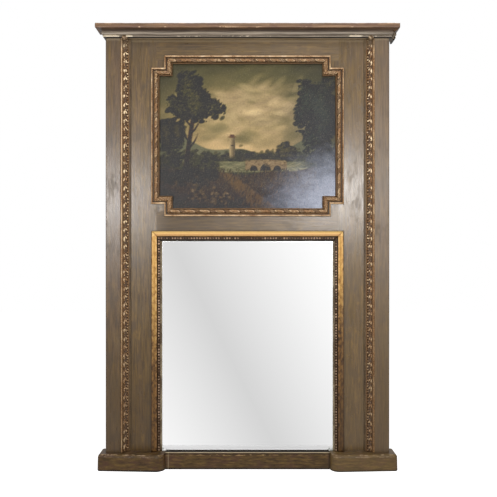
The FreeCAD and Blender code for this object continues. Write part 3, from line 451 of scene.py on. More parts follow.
def cornice_paint(name, specular=0.40):
    """Cornice paint by height: brown-gold fascia, dark cove, grey-olive round, pale worn bead, and a
    painted shadow under the bead.
    """
    coat = Finish(name)
    band = coat.layer("across")
    fine = coat.noise((7.0, 160.0, 220.0), 5.0, 0.6)
    cloud = coat.noise((16.0, 30.0, 60.0), 4.0, 0.6)
    speck = coat.noise((160.0, 200.0, 300.0), 3.0, 0.6)
    fascia = coat.graded(fine, 0.34, 0.66, shade(92, 66, 42), shade(136, 104, 74))
    fascia = coat.mix(coat.step(cloud, 0.46, 0.60) * 0.8, fascia, shade(98, 68, 50))
    cove = coat.graded(fine, 0.35, 0.65, shade(56, 42, 32), shade(88, 68, 52))
    olive = coat.graded(fine, 0.35, 0.65, shade(100, 88, 74), shade(154, 140, 122))
    colour = coat.graded(band, 0.46, 0.52, olive, cove)
    colour = coat.graded(band, 0.60, 0.64, colour, fascia)
    cream = coat.graded(band, 0.3, 0.4, shade(238, 222, 194), shade(214, 180, 142))
    chips = coat.step(coat.layer("wear") + (cloud - 0.5) * 0.8 + (speck - 0.5) * 0.8, 0.60, 0.78)
    colour = coat.mix(chips * 0.92, colour, cream)
    # Painted shade in hollows and beside raised parts.
    colour = coat.shaded_in_hollows(colour, 0.012, 0.25, 0.9, 0.55, shade(34, 24, 16))
    # Painted shadow under the bead, at the cornice's foot.
    colour = coat.graded(band, 0.050, 0.075, shade(28, 20, 13), colour)
    return coat.surface({"Base Color": colour, "Roughness": 0.36, "Specular IOR Level": specular},
                        fine, 0.0006)


def bare_pine(name, axis):
    """Unpainted pine of the back, with its grain along the board."""
    coat = Finish(name)
    grain = coat.noise(along(axis, 120.0, 3.0), 6.0, 0.6, 0.8)
    ring = coat.noise(along(axis, 24.0, 0.9), 3.0, 0.5, 1.2)
    colour = coat.graded(grain, 0.3, 0.7, shade(120, 86, 54), shade(164, 126, 84))
    colour = coat.mix(coat.step(ring, 0.5, 0.6) * 0.5, colour, shade(98, 66, 40))
    # Painted shade in hollows and beside raised parts.
    colour = coat.shaded_in_hollows(colour, 0.02, 0.3, 0.95, 0.5, shade(54, 40, 28))
    return coat.surface({"Base Color": colour, "Roughness": 0.75}, grain, 0.0008)


def old_metal(name, dark, light, metallic, roughness):
    """Stained metal of the hanging rings, plates, screws and tacks."""
    coat = Finish(name)
    stain = coat.noise((160.0, 160.0, 160.0), 4.0, 0.6)
    colour = coat.graded(stain, 0.35, 0.65, dark, light)
    rough = roughness + stain * 0.25
    return coat.surface({"Base Color": colour, "Metallic": metallic, "Roughness": rough}, stain, 0.0002)


def silvered_glass(name):
    """Mirror plate. Its colour grows paler along a slant, a painted reflection, and it is partly matt
    and paler at the rim. Its foot band is painted reflection, and its lower corners hold painted
    reflections of the plinth blocks.
    """
    coat = Finish(name)
    across = abs(coat.axis("X"))
    height = coat.axis("Z")
    slant = abs(coat.axis("X") * 1.843 + height * 0.9216 - 0.2555)
    # Painted reflection: grey to white along a slant.
    colour = coat.ramp(slant, [(0.0, shade(213, 213, 213)), (0.08, shade(216, 216, 216)),
                               (0.45, shade(234, 234, 234)), (0.75, shade(247, 247, 247)),
                               (1.0, WHITE)])
    rim = coat.sum_of("MAXIMUM", coat.step(across, SIGHT_HALF - 3.6 * MM, SIGHT_HALF - 2.2 * MM),
                      coat.step(height, SIGHT_TOP - 3.7 * MM, SIGHT_TOP - 2.3 * MM))
    glass_noise = coat.noise((90.0, 90.0, 70.0), 5.0, 0.65)
    # Painted reflection: up from the ledge the plate is matt pale paint, white at the very foot.
    base = coat.fade(height + (glass_noise - 0.5) * 0.003, 0.0785, 0.0800)
    gone = coat.sum_of("MAXIMUM", rim * 0.35, base)
    ground = coat.graded(height, 0.0660, 0.0672, WHITE, coat.mix(0.45, colour, shade(240, 240, 240)))
    colour = coat.mix(gone, colour, ground)
    # Painted reflections of the plinth blocks' tops in the lower corners.
    corner = coat.fade(height, 0.066, 0.074) * coat.step(across, 0.290, 0.300)
    block_reflection = corner * coat.step(glass_noise, 0.46, 0.58)
    colour = coat.mix(block_reflection * 0.7, colour, shade(116, 122, 112))
    return coat.surface({"Base Color": colour, "Metallic": 1.0 - gone, "Roughness": gone * 0.5,
                         "Specular IOR Level": 0.3})


# Middle of the painted sheen and of the varnish gloss at the picture's lower right.
SHEEN_X, SHEEN_Z = 0.350, 0.930


def oil_painting(name):
    """The picture's colours lie on its vertices. Varnish, a blue-grey painted sheen at the lower right,
    weave and cracks come from here.
    """
    coat = Finish(name)
    colour = coat.add("ShaderNodeAttribute", {"attribute_name": "picture"}, output="Color")
    speck = coat.noise((210.0, 210.0, 210.0), 4.0, 0.6)
    smear = coat.noise((30.0, 30.0, 46.0), 4.0, 0.6)
    grain = coat.noise((330.0, 330.0, 330.0), 2.0, 0.6)
    weave = coat.noise((900.0, 900.0, 900.0), 1.0)
    colour = coat.mix(coat.step(speck, 0.3, 0.75) * 0.24, colour, shade(40, 33, 22))
    colour = coat.mix(coat.step(grain, 0.56, 0.74) * 0.22, colour, shade(190, 172, 138))
    crack = coat.add("ShaderNodeTexVoronoi", {"feature": "DISTANCE_TO_EDGE"},
                     {"Vector": coat.scaled((95.0, 95.0, 70.0)), "Scale": 1.0})
    line = coat.fade(crack, 0.0, 0.05)
    colour = coat.mix(line * 0.20, colour, shade(30, 24, 16))
    right = coat.axis("X") - SHEEN_X
    up = (coat.axis("Z") - SHEEN_Z) * 1.15
    away = coat.sum_of("SQRT", right * right + up * up)
    # A blue-grey painted sheen at the lower right, where the varnish coat also shines.
    sheen_patch = coat.fade(away + (smear - 0.5) * 0.12, 0.08, 0.34)
    colour = coat.mix(sheen_patch * (0.18 + speck * 0.30), colour, shade(150, 164, 200))
    varnish = sheen_patch * (0.35 + coat.step(speck, 0.34, 0.62) * 0.65)
    return coat.surface({"Base Color": colour, "Roughness": 0.30 + smear * 0.25, "Specular IOR Level": 0.26,
                         "Coat Weight": varnish, "Coat Roughness": 0.32},
                        weave * 0.4 + smear - line * 0.3, 0.0006)


# ---------------------------------------------------------------- mesh pieces

def make_piece(name, shape, node, material):
    """A piece that stands in for a CAD node. shape is its points in metres, faces and layers."""
    points, faces, layers = shape
    mesh = bpy.data.meshes.new(name)
    mesh.from_pydata([tuple(p) for p in points], [], [tuple(int(i) for i in f) for f in faces])
    mesh.materials.append(material)
    for layer, values in layers.items():
        store_layer(mesh, layer, np.asarray(values, np.float32))
    mesh.validate()
    mesh.shade_smooth()
    piece = bpy.data.objects.new(name, mesh)
    bpy.context.collection.objects.link(piece)
    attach(piece, "frame")
    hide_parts(node)
    return piece


def store_layer(mesh, layer, values):
    """A number or a colour for each point of the mesh."""
    if values.ndim == 2:
        mesh.attributes.new(layer, "FLOAT_COLOR", "POINT").data.foreach_set("color", values.ravel())
    else:
        mesh.attributes.new(layer, "FLOAT", "POINT").data.foreach_set("value", values)


def tube_faces(rows, columns):
    """Quads of a grid whose columns close on themselves, with a face over each end."""
    row = np.arange(rows - 1)[:, None] * columns
    column = np.arange(columns)[None, :]
    following = (column + 1) % columns
    quads = np.stack([row + column, row + following, row + columns + following, row + columns + column], -1)
    faces = [list(q) for q in quads.reshape(-1, 4)]
    faces.append(list(range(columns))[::-1])
    faces.append([(rows - 1) * columns + i for i in range(columns)])
    return faces


def turned_over(shape):
    """The shape with its faces looking the other way, for a mirrored piece."""
    points, faces, layers = shape
    return points, [face[::-1] for face in faces], layers


def resampled(profile, spacing):
    """Profile points no further apart than spacing. Each point is (a, b, wear, carve)."""
    points = []
    for first, second in zip(profile, profile[1:]):
        first, second = np.array(first), np.array(second)
        count = max(1, int(math.ceil(np.hypot(*(second - first)[:2]) / spacing)))
        for i in range(count):
            points.append(first + (second - first) * i / count)
    points.append(np.array(profile[-1]))
    return np.array(points)


def arc(start, end, rise, count, wear=0.0, carve=0.0):
    """Points of an arc that rises to the left of the run from start to end."""
    run = np.subtract(end, start)
    half = np.hypot(*run) / 2
    radius = (half ** 2 + rise ** 2) / (2 * abs(rise))
    sweep = 2 * math.atan2(abs(rise), half)
    normal = np.array((-run[1], run[0])) / (2 * half) * math.copysign(1, rise)
    centre = np.add(start, end) / 2 + normal * (abs(rise) - radius)
    points = []
    for i in range(count + 1):
        angle = sweep * 2 * (i / count - 0.5)
        spot = centre + normal * radius * math.cos(angle) + run / (2 * half) * radius * math.sin(angle)
        points.append((spot[0], spot[1], wear, carve))
    return points


def outward(profile):
    """Unit normals to the left of a profile's run."""
    ahead = np.roll(profile[:, :2], -1, 0) - np.roll(profile[:, :2], 1, 0)
    ahead[0] = profile[1, :2] - profile[0, :2]
    ahead[-1] = profile[-1, :2] - profile[-2, :2]
    normal = np.stack([-ahead[:, 1], ahead[:, 0]], 1)
    return normal / np.maximum(np.hypot(normal[:, 0], normal[:, 1]), 1e-9)[:, None]


def ripple(reach, side, seed):
    """Slow, uneven waves along a moulding, between about -1 and 1."""
    long_wave = np.sin(reach * 0.031 + seed * 1.7) * 0.45
    middle_wave = np.sin(reach * 0.083 + seed * 3.1 + side * 0.11) * 0.3
    return long_wave + middle_wave + np.sin(reach * 0.21 + seed * 5.3 + side * 0.23) * 0.25


class Run:
    """A straight moulding: where it starts and which way it goes.

    head and tail are its mitres: how far each end moves along the run for a step to the side.
    """

    def __init__(self, start, along_way, length, side_way, front_way, head=0.0, tail=0.0):
        self.start = np.array(start, float)
        self.along_way = np.array(along_way, float)
        self.length = length
        self.side_way = np.array(side_way, float)
        self.front_way = np.array(front_way, float)
        self.head = head
        self.tail = tail

    def sweep(self, profile, step, relief=None, wobble=0.0, seed=0.0):
        """The shape that the profile (a, b, wear, carve), in millimetres, makes along the run."""
        rows = max(2, int(round(self.length / step)) + 1)
        share = np.linspace(0, 1, rows)[:, None]
        side, front, wear, carve = profile.T[:, None, :]
        first = self.head * side
        last = self.length + self.tail * side
        reach = first + (last - first) * share
        side = side + 0 * reach
        carved = np.clip(carve, 0, 1)
        height, shown = relief(reach, side) if relief else (0 * reach, 0 * reach)
        height = height * carved + wobble * ripple(reach, side, seed)
        normal = outward(profile)
        points = (self.start + self.along_way * reach[..., None]
                  + self.side_way * (side + normal[:, 0] * height)[..., None]
                  + self.front_way * (front + normal[:, 1] * height)[..., None])
        layers = {"relief": shown * carved, "wear": wear, "carved": carved,
                  "shadow": np.clip(-carve, 0, 1), "across": side / np.ptp(profile[:, 0])}
        layers = {name: np.broadcast_to(values, reach.shape).ravel() for name, values in layers.items()}
        return points.reshape(-1, 3) * MM, tube_faces(rows, len(profile)), layers


def joined(shapes):
    """Several shapes as one."""
    points, faces, layers, base = [], [], {}, 0
    for part_points, part_faces, part_layers in shapes:
        points.append(part_points)
        faces += [[i + base for i in face] for face in part_faces]
        for key, values in part_layers.items():
            layers.setdefault(key, []).append(values)
        base += len(part_points)
    return np.concatenate(points), faces, {key: np.concatenate(values) for key, values in layers.items()}


def ball_angles(rings, spokes):
    """Angles from a ball's pole and round it, ring by ring."""
    for ring in range(rings + 1):
        for spoke in range(spokes):
            yield math.pi * ring / rings, 2 * math.pi * spoke / spokes


def ball_layers(relief, across):
    """Layers of a carved ball, which has neither worn edges nor dark joints."""
    none = np.zeros(len(relief))
    return {"relief": relief, "wear": none, "carved": none + 1, "shadow": none, "across": none + across}


# ---------------------------------------------------------------- carving

def bump(distance):
    """A rounded swelling: 1 at its middle and 0 from distance 1 outwards."""
    return np.sqrt(np.clip(1 - distance ** 2, 0, None))


def lobe(reach, side, middle_reach, middle_side, half_reach, half_side, turn):
    """Swelling of a leaf, turned in its plane."""
    cosine, sine = np.cos(turn), np.sin(turn)
    away = reach - middle_reach
    across = side - middle_side
    return bump(np.hypot((away * cosine + across * sine) / half_reach,
                         (across * cosine - away * sine) / half_side))


LEAF_PITCH = 30.9
LEAF_COUNT = 60
PEARL_PITCH = LEAF_PITCH / 3
PEARL_SIDE = 26.6
PEARL_HALF_REACH, PEARL_HALF_SIDE = 3.1, 2.5


def pearls(reach, side, chance):
    """Small uneven pearls beside the leaves."""
    place = reach / PEARL_PITCH
    index = np.clip(np.floor(place).astype(int), 0, len(chance) - 1)
    away = (place - index - 0.5) * PEARL_PITCH + chance[index, 0]
    across = side - PEARL_SIDE - chance[index, 1] * 0.8
    ball = bump(np.hypot(away / PEARL_HALF_REACH, across / PEARL_HALF_SIDE))
    return ball * (0.62 + 0.38 * chance[index, 2])


def leaf_relief(seed, shift):
    """Paired leaf lobes one above the other, with pearls and dark hollows between them."""
    rng = np.random.default_rng(seed)
    jitter = rng.uniform(-1, 1, (LEAF_COUNT, 8))
    pearl_chance = rng.uniform(-1, 1, (3 * LEAF_COUNT, 3))

    def relief(reach, side):
        side = side + shift
        index = np.clip(np.floor(reach / LEAF_PITCH).astype(int), 0, LEAF_COUNT - 1)
        local = reach - index * LEAF_PITCH
        chance = [jitter[index, i] for i in range(8)]
        left = lobe(local, side, 14.5 + chance[0] * 2.2, 13.8 + chance[1] * 0.8, 9.2 + chance[2] * 1.4, 4.2,
                    0.12 + chance[3] * 0.12)
        right = lobe(local, side, 18.0 + chance[2] * 2.4, 20.9 + chance[3] * 0.8, 6.8 + chance[4], 3.2,
                     -0.42 + chance[5] * 0.2)
        tip = lobe(local, side, 26.2 + chance[5], 17.6 + chance[6] * 1.4, 4.6, 2.6, 0.6)
        stem = lobe(local, side, 4.2 + chance[7], 15.5 + chance[6], 3.4, 2.8, -0.4)
        best = np.maximum.reduce([left * (0.86 + 0.14 * chance[7]), right * (0.80 + 0.20 * chance[1]),
                                  tip * (0.5 + 0.25 * chance[0]), stem * (0.5 + 0.25 * chance[2]),
                                  pearls(reach, side, pearl_chance)])
        vein = np.exp(-((side - 13.6 - 0.1 * (local - 14)) / 0.7) ** 2) * (left > 0.45) * 0.28
        notch = np.exp(-((side - 17.6) / 0.9) ** 2) * 0.40 * (best > 0.2)
        shown = np.clip(best - vein - notch, 0, 1)
        return -3.6 + 5.0 * shown, shown

    return relief


RIBBON_PITCH = 55.0
BAR_COUNT = 16
BAR_HALF_WIDTH = 7.0
LEAVES_FROM = 38.5
BAR_SLANT = 0.8


def ribbon_relief(seed, middle, length):
    """A rod cut into long rimmed bars, some of them halved, with slanted leaves between."""
    rng = np.random.default_rng(seed)
    slack = (length - int(length / RIBBON_PITCH) * RIBBON_PITCH) / 2
    jitter = rng.uniform(-1, 1, (BAR_COUNT, 3))

    def relief(reach, side):
        across = side - middle
        twisted = reach - slack - across * BAR_SLANT
        index = np.clip(np.floor(twisted / RIBBON_PITCH).astype(int), 0, BAR_COUNT - 1)
        local = twisted - index * RIBBON_PITCH
        halved = jitter[index, 1] > 0.1
        half = np.where(halved, 9.2, 18.0 + jitter[index, 0])
        centre = np.where(halved, np.where(local < 20, 10.4, 29.0), 20.0)
        away = (np.abs((local - centre) / half) ** 3.5 + np.abs(across / BAR_HALF_WIDTH) ** 3.5) ** (1 / 3.5)
        body = bump(away)
        rim = np.exp(-((away - 0.76) / 0.17) ** 2)
        bar = np.maximum(rim, body * 0.52) * (away < 1.02) * (0.84 + 0.16 * jitter[index, 0])
        wave = (local - LEAVES_FROM) / 5.4 + np.abs(across) * 0.30 * np.where(local > 46.5, -1, 1)
        leafy = (local > LEAVES_FROM) * (np.abs(across) < BAR_HALF_WIDTH + 0.4)
        leaf = (0.5 + 0.5 * np.cos(2 * math.pi * wave)) ** 1.3 * leafy
        shown = np.maximum(bar, leaf * (0.8 + 0.2 * jitter[index, 2]))
        height = np.maximum(body, leaf * 0.9)
        return -2.6 + 3.2 * height, shown

    return relief


def corner_relief(middle, seed):
    """Long leaf strands gathered at a mitre."""
    def relief(reach, side):
        across = side - middle
        strand = 0.5 + 0.5 * np.cos(across * 0.85 + np.sin(reach * 0.21 + seed) * 2.2 + reach * 0.16)
        bite = 0.5 + 0.5 * np.cos(reach * 0.74 + across * 0.35 + seed * 1.3)
        shown = 0.16 + 0.66 * strand * (0.45 + 0.55 * bite)
        return -2.4 + 3.0 * shown, shown

    return relief

# ---------------------------------------------------------------- picture frame

ROD_MIDDLE = 18.4


def picture_profile(level):
    """Fillet, quirk, rod, a groove and a thin sight fillet, then the tongue behind; millimetres."""
    fillet = [(0, 0, 0, -0.5), (0, 8.0, 0.5, 0)]
    if level:
        fillet += arc((0.2, 8.5), (5.6, 8.5), 1.5, 6, 0.80) + [(5.9, 8.0, 0.3, 0)]
    else:
        fillet += arc((0.5, 8.5), (4.6, 8.5), 1.4, 6, 0.66) + [(5.0, 7.6, 0.1, -0.3)]
    quirk = [(6.0, 3.4, 0, -1), (9.4, 3.4, 0, -1), (10.0, 3.8, 0, -0.2)]
    rod = arc((10.4, 4.2), (26.4, 4.2), 10.4, 24, 0.0, 1.0)
    sight = [(26.7, 3.6, 0, -0.7), (27.2, 3.3, 0, -0.9), (27.6, 5.0, 0.05, 0), (28.4, 6.0, 0.1, 0),
             (29.3, 5.4, 0.05, -0.3)]
    tongue = [(29.5, 3.6, 0, -0.8), (29.5, -6, 0, -1), (19, -6, 0, 0), (19, 0, 0, 0)]
    return resampled(fillet + quirk + rod + sight + tongue, 1.9)


def picture_corners():
    """The frame's outer outline with its notched corners, clockwise from the upper left."""
    top_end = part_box("picture_frame_top")[1]
    side_foot, side_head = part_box("picture_frame_right")
    inner_x, top = in_mm(top_end.x), in_mm(top_end.z)
    half, low, high = in_mm(side_head.x), in_mm(side_foot.z), in_mm(side_head.z)
    bottom = in_mm(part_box("picture_frame_bottom")[0].z)
    return [(-inner_x, top), (inner_x, top), (inner_x, high), (half, high), (half, low), (inner_x, low),
            (inner_x, bottom), (-inner_x, bottom), (-inner_x, low), (-half, low), (-half, high),
            (-inner_x, high)]


PICTURE_LEGS = [
    ("picture_frame_top", [0]), ("picture_corner_top_right", [1, 2]), ("picture_frame_right", [3]),
    ("picture_corner_bottom_right", [4, 5]), ("picture_frame_bottom", [6]),
    ("picture_corner_bottom_left", [7, 8]), ("picture_frame_left", [9]),
    ("picture_corner_top_left", [10, 11]),
]
SHORT_LEG = 100.0


def leg_of(corners, index):
    """Start, direction and length of one leg of a path."""
    head, tail = (np.array(corners[i % len(corners)]) for i in (index, index + 1))
    length = float(np.hypot(*(tail - head)))
    return head, (tail - head) / length, length


def path_run(corners, index, closed):
    """One leg of a clockwise path on the mirror's face, mitred to its neighbours, as a Run."""
    head, way, length = leg_of(corners, index)

    def mitre(neighbour):
        side = leg_of(corners, neighbour)[1]
        return side[1] * way[0] - side[0] * way[1]

    before = mitre(index - 1) if closed or index > 0 else 0.0
    after = mitre(index + 1) if closed or index < len(corners) - 2 else 0.0
    return Run((head[0], PAINT_FACE_Y / MM, head[1]), (way[0], 0, way[1]), length,
               (way[1], 0, -way[0]), (0, -1, 0), before, after)


def build_picture_frame(material):
    corners = picture_corners()
    for name, legs in PICTURE_LEGS:
        shapes = []
        for leg in legs:
            run = path_run(corners, leg, True)
            if run.length > SHORT_LEG:
                relief = ribbon_relief(leg, ROD_MIDDLE, run.length)
            else:
                relief = corner_relief(ROD_MIDDLE, leg)
            level = abs(run.along_way[0]) > 0.5
            shapes.append(run.sweep(picture_profile(level), 1.3, relief, 0.30, leg))
        make_piece(name + "_carved", joined(shapes), name, material)


# ---------------------------------------------------------------- mirror frame

BEAD_PITCH = 10.1
BEAD_RADIUS = 4.45
BEAD_SIDE, BEAD_FRONT = 7.0, 4.6
CORNER_GAP, FOOT_GAP = 7.0, 5.0
BEAD_ENDS = [(FOOT_GAP, CORNER_GAP + BEAD_PITCH), (CORNER_GAP, CORNER_GAP),
             (CORNER_GAP + BEAD_PITCH, FOOT_GAP)]


def open_path(node):
    """Outline over the top of the mirror, round the node that lies there, from foot to foot."""
    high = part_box(node)[1]
    half, foot, top = in_mm(high.x), in_mm(PLINTH_TOP), in_mm(high.z)
    return [(-half, foot), (-half, top), (half, top), (half, foot)]


def gilt_profile():
    """Rounded outer edge, shallow hollow and inner arris; millimetres from the outer edge."""
    outer = [(0, 0, 0, 0), (0, 10, 0, 0)] + arc((0.4, 11), (4, 14), 1.0, 4)
    hollow = arc((5, 14), (16, 14), -1.6, 6)
    inner = [(19, 14, 0, 0), (20.6, 13.4, 0, 0), (21, 12, 0, 0), (21, 0, 0, 0)]
    return resampled(outer + hollow + inner, 2.5)


def bead_strip_profile():
    """Bed of the beads and the slope down to the plate; millimetres from the gilt band."""
    return resampled([(0, -3, 0, 0), (0, 3.2, 0, 0), (11.5, 3.4, 0, 0), (12.6, 5, 0, 0), (14.5, 4.4, 0, 0),
                      (18, 1.2, 0, 0), (18, -3, 0, 0)], 2.5)


def build_mirror_frame(gilt, beaded):
    for index, side in enumerate(("left", "top", "right")):
        run = path_run(open_path("mirror_frame_top"), index, False)
        band = run.sweep(gilt_profile(), 6.0, None, 0.35, index)
        make_piece("gilt_band_" + side, band, "mirror_frame_" + side, gilt)
        run = path_run(open_path("bead_moulding_top"), index, False)
        strip = run.sweep(bead_strip_profile(), 6.0, None, 0.15, index + 5)
        row = joined([strip] + bead_row(run, index))
        make_piece("beads_" + side, row, "bead_moulding_" + side, beaded)


def bead_row(run, index):
    """Turned beads in a row. They differ a little, as carved ones do."""
    rng = np.random.default_rng(70 + index)
    first, last_gap = BEAD_ENDS[index]
    last = run.length - last_gap
    count = int(round((last - first) / BEAD_PITCH))
    beads = []
    for i in range(count + 1):
        reach = first + (last - first) * i / count
        size = BEAD_RADIUS * (1 + rng.uniform(-0.08, 0.03))
        beads.append(bead(run, reach, size, rng.uniform(0.5, 1.0)))
    return beads


def bead(run, reach, size, shown):
    """One bead, whose pole lies along the run. shown is how far its crown is rubbed."""
    rings, spokes = 6, 10
    ways = np.array([(math.cos(lift), math.sin(lift) * math.cos(turn), math.sin(lift) * math.sin(turn))
                     for lift, turn in ball_angles(rings, spokes)])
    along_run, side, front = (ways * size).T[..., None]
    points = (run.start + run.along_way * (reach + along_run) + run.side_way * (BEAD_SIDE + side)
              + run.front_way * (BEAD_FRONT + front))
    layers = ball_layers(np.clip(ways[:, 2], 0, 1) * shown, 0.4)
    return points * MM, tube_faces(rings + 1, spokes), layers


# ---------------------------------------------------------------- carved strips

STRIP_X = in_mm(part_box("pilaster_right")[0].x)
KNOB_IN = 16.0
KNOB_HALF_WIDTH, KNOB_DEPTH, KNOB_HALF_HEIGHT = 11.5, 7.0, 9.5
KNOB_Y = PILASTER_FACE_Y / MM - 5.0
KNOB_Z = CORNICE_FOOT / MM + 0.5


def strip_profile(joint, wear):
    """Dark joint, fillet, carved bed and plain inner band; millimetres from the pilaster."""
    gap = [(0, 0, 0, -0.6), (0, 21.6, 0, -0.3), (joint * 0.5, 21.2, 0, -0.8), (joint * 0.9, 21.6, 0, -0.4)]
    fillet = [(joint + 0.2, 23.4, wear * 0.4, -0.2)]
    fillet += arc((joint + 0.6, 24.0), (joint + 5.2, 24.0), 1.4, 6, wear)
    fillet += [(joint + 5.7, 23.0, wear * 0.2, -0.2)]
    bed = [(joint + 6.0, 18.0, 0, -0.8), (joint + 7.2, 18.0, 0, -0.3)]
    bed += arc((joint + 7.8, 18.6), (29.4, 7.6), 3.8, 24, 0, 1.0)
    flat = [(29.8, 6.4, 0, -0.3), (30.2, 4.6, 0, -0.5), (31, 4.5, 0, 0), (34.4, 4.5, 0, 0),
            (36.3, 2.4, 0, -0.1), (36.5, 0, 0, -0.6)]
    return resampled(gap + fillet + bed + flat, 1.9)


def build_strips(material):
    length = (CORNICE_FOOT - PLINTH_TOP) / MM
    for name, sign, joint, wear in (("left", -1, 2.2, 0.80), ("right", 1, 0.6, 0.60)):
        start = (sign * STRIP_X, PAINT_FACE_Y / MM, PLINTH_TOP / MM)
        run = Run(start, (0, 0, 1), length, (-sign, 0, 0), (0, -1, 0))
        strip = run.sweep(strip_profile(joint, wear), 1.15, leaf_relief(11 + sign, 2.2 - joint), 0.5, sign)
        shape = joined([strip, top_knob(sign * (STRIP_X - KNOB_IN), 21 + sign)])
        if sign < 0:
            shape = turned_over(shape)
        node = "carved_strip_" + name
        make_piece(node + "_leaves", shape, node, material)


def top_knob(x, seed):
    """The topmost leaf of a strip stands up over the cornice's bead."""
    dents = np.random.default_rng(seed).uniform(0.6, 1.0, (4, 4))
    rings, spokes = 12, 20
    points, shown = [], []
    for index, (lift, turn) in enumerate(ball_angles(rings, spokes)):
        ring, spoke = divmod(index, spokes)
        lobes = 0.5 + 0.5 * math.cos(turn * 3 + lift * 2)
        size = 1 - 0.22 * lobes * dents[ring % 4, spoke % 4]
        points.append((x + math.sin(lift) * math.cos(turn) * KNOB_HALF_WIDTH * size,
                       KNOB_Y - math.sin(lift) * math.sin(turn) * KNOB_DEPTH * size,
                       KNOB_Z + math.cos(lift) * KNOB_HALF_HEIGHT * size))
        shown.append(0.75 - lobes * 0.7)
    return np.array(points) * MM, tube_faces(rings + 1, spokes), ball_layers(np.array(shown), 0.5)


# ---------------------------------------------------------------- cornice

def cornice_profile():
    """(projection, height, wear, carve) from the top's back edge round to the underside's."""
    bead = [(0, 0, 0, 0), (5.6, 0.1, 0, 0)] + arc((5.6, 1.6), (5.6, 8.3), -3.3, 8, 1.0)
    body = [(6.0, 8.6, 0.9, 0), (10.3, 9.2, 0.7, 0)] + arc((10.5, 9.4), (10.5, 22.3), -2.9, 10, 0.16)
    cove = arc((10.6, 22.6), (29.6, 28.6), 2.6, 10, 0.0)
    fascia = [(31.4, 29.4, 0.8, 0), (32, 30.6, 0.95, 0), (32, 33.4, 0.6, 0), (32, 38, 0.3, 0),
              (32, 43.0, 0.4, 0), (31.3, 45.2, 0.95, 0), (29.8, 46, 1.0, 0), (0, 46, 0.3, 0)]
    return resampled(bead + body + cove + fascia, 3.0)[::-1]


def build_cornice(material, side_material):
    """The front moulding, mitred at both ends, and its two returns."""
    half, foot = HALF_BODY / MM, CORNICE_FOOT / MM
    front_y, back_y = PILASTER_FACE_Y / MM, BACK_FACE_Y / MM
    front = Run((-half, front_y, foot), (1, 0, 0), 2 * half, (0, -1, 0), (0, 0, 1), -1, 1)
    shape = cornice_sweep(front, 0.45)
    make_piece("cornice_front_moulding", shape, "cornice_front", material)
    for name, sign in (("left", -1), ("right", 1)):
        side = Run((sign * half, back_y, foot), (0, -1, 0), back_y - front_y, (sign, 0, 0), (0, 0, 1), 0, 1)
        shape = cornice_sweep(side)
        shape = sprung(shape) if sign > 0 else turned_over(shape)
        node = "cornice_return_" + name
        make_piece(node + "_moulding", shape, node, side_material)


# Worn places along the cornice: middle and half length in metres, and strength.
BEAD_WEAR = [(-0.500, 0.028, 1.0), (-0.435, 0.012, 1.0), (0.395, 0.020, 0.9), (-0.22, 0.07, 0.30),
             (-0.04, 0.06, 0.35), (0.10, 0.05, 0.25), (0.26, 0.04, 0.35), (0.49, 0.03, 0.4)]
FASCIA_FOOT_WEAR = [(-0.392, 0.004, 0.9), (-0.298, 0.005, 0.9), (-0.330, 0.003, 0.8), (-0.190, 0.020, 0.4),
                    (-0.070, 0.046, 0.75), (0.042, 0.016, 0.8), (0.205, 0.03, 0.5), (0.376, 0.008, 0.8)]
FASCIA_TOP_WEAR = [(-0.500, 0.024, 1.0), (-0.235, 0.016, 0.8), (-0.150, 0.010, 0.7), (0.10, 0.02, 0.6),
                   (0.30, 0.015, 0.7), (0.520, 0.014, 1.0)]


def worn_places(x, places):
    """How worn the moulding is at each x, from 0 to the strength of the nearest worn place."""
    worn = np.zeros_like(x)
    for middle, half, strength in places:
        worn = np.maximum(worn, strength * np.clip(1.6 - np.abs(x - middle) / half, 0, 1))
    return worn


def cornice_sweep(run, wobble=0.0):
    """The cornice along a run, worn in places. Its upper edge waves by wobble millimetres."""
    points, faces, layers = run.sweep(cornice_profile(), 2.0)
    x = points[:, 0]
    band = (points[:, 2] - CORNICE_FOOT) / (BODY_TOP - CORNICE_FOOT)
    worn = np.where(band > 0.5, worn_places(x, FASCIA_FOOT_WEAR) * 0.75 + 0.20,
                    worn_places(x, BEAD_WEAR) * 0.65 + 0.35)
    worn = np.where(band > 0.85, worn_places(x, FASCIA_TOP_WEAR) * 0.80 + 0.20, worn)
    layers["across"] = band
    layers["wear"] = layers["wear"] * worn
    upper = np.clip(band - 0.6, 0, 0.4) / 0.4
    points[:, 2] += (ripple(x / MM, 0, 3) - 1.0) * wobble * MM * upper
    return points, faces, layers


def sprung(shape):
    """The right return hangs out at its foot. Its fascia is planed level with the front's end."""
    points, faces, layers = shape
    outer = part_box("cornice_front")[1].x
    edge = Vector((outer, 0, BODY_TOP))
    turn = Matrix.Translation(edge) @ Matrix.Rotation(math.radians(-16), 4, "Y") @ Matrix.Translation(-edge)
    points = np.array([turn @ Vector(p) for p in points])
    points[:, 0] = np.clip(points[:, 0], HALF_BODY + 0.2 * MM, outer)
    points[:, 2] = np.minimum(points[:, 2], BODY_TOP)
    return points, faces, layers


# ---------------------------------------------------------------- plinth blocks

CLEAR_OF_CARCASS = 0.25
NOSE_RADIUS, NOSE_BACK = 34.0, 40.0
OUTER_RADIUS, OUTER_BACK = 13.5, 27.0
FOOT_ROUNDING, TOP_ROUNDING = 4.0, 12.0
BATTER, SHOULDER = 1.4, 9.6


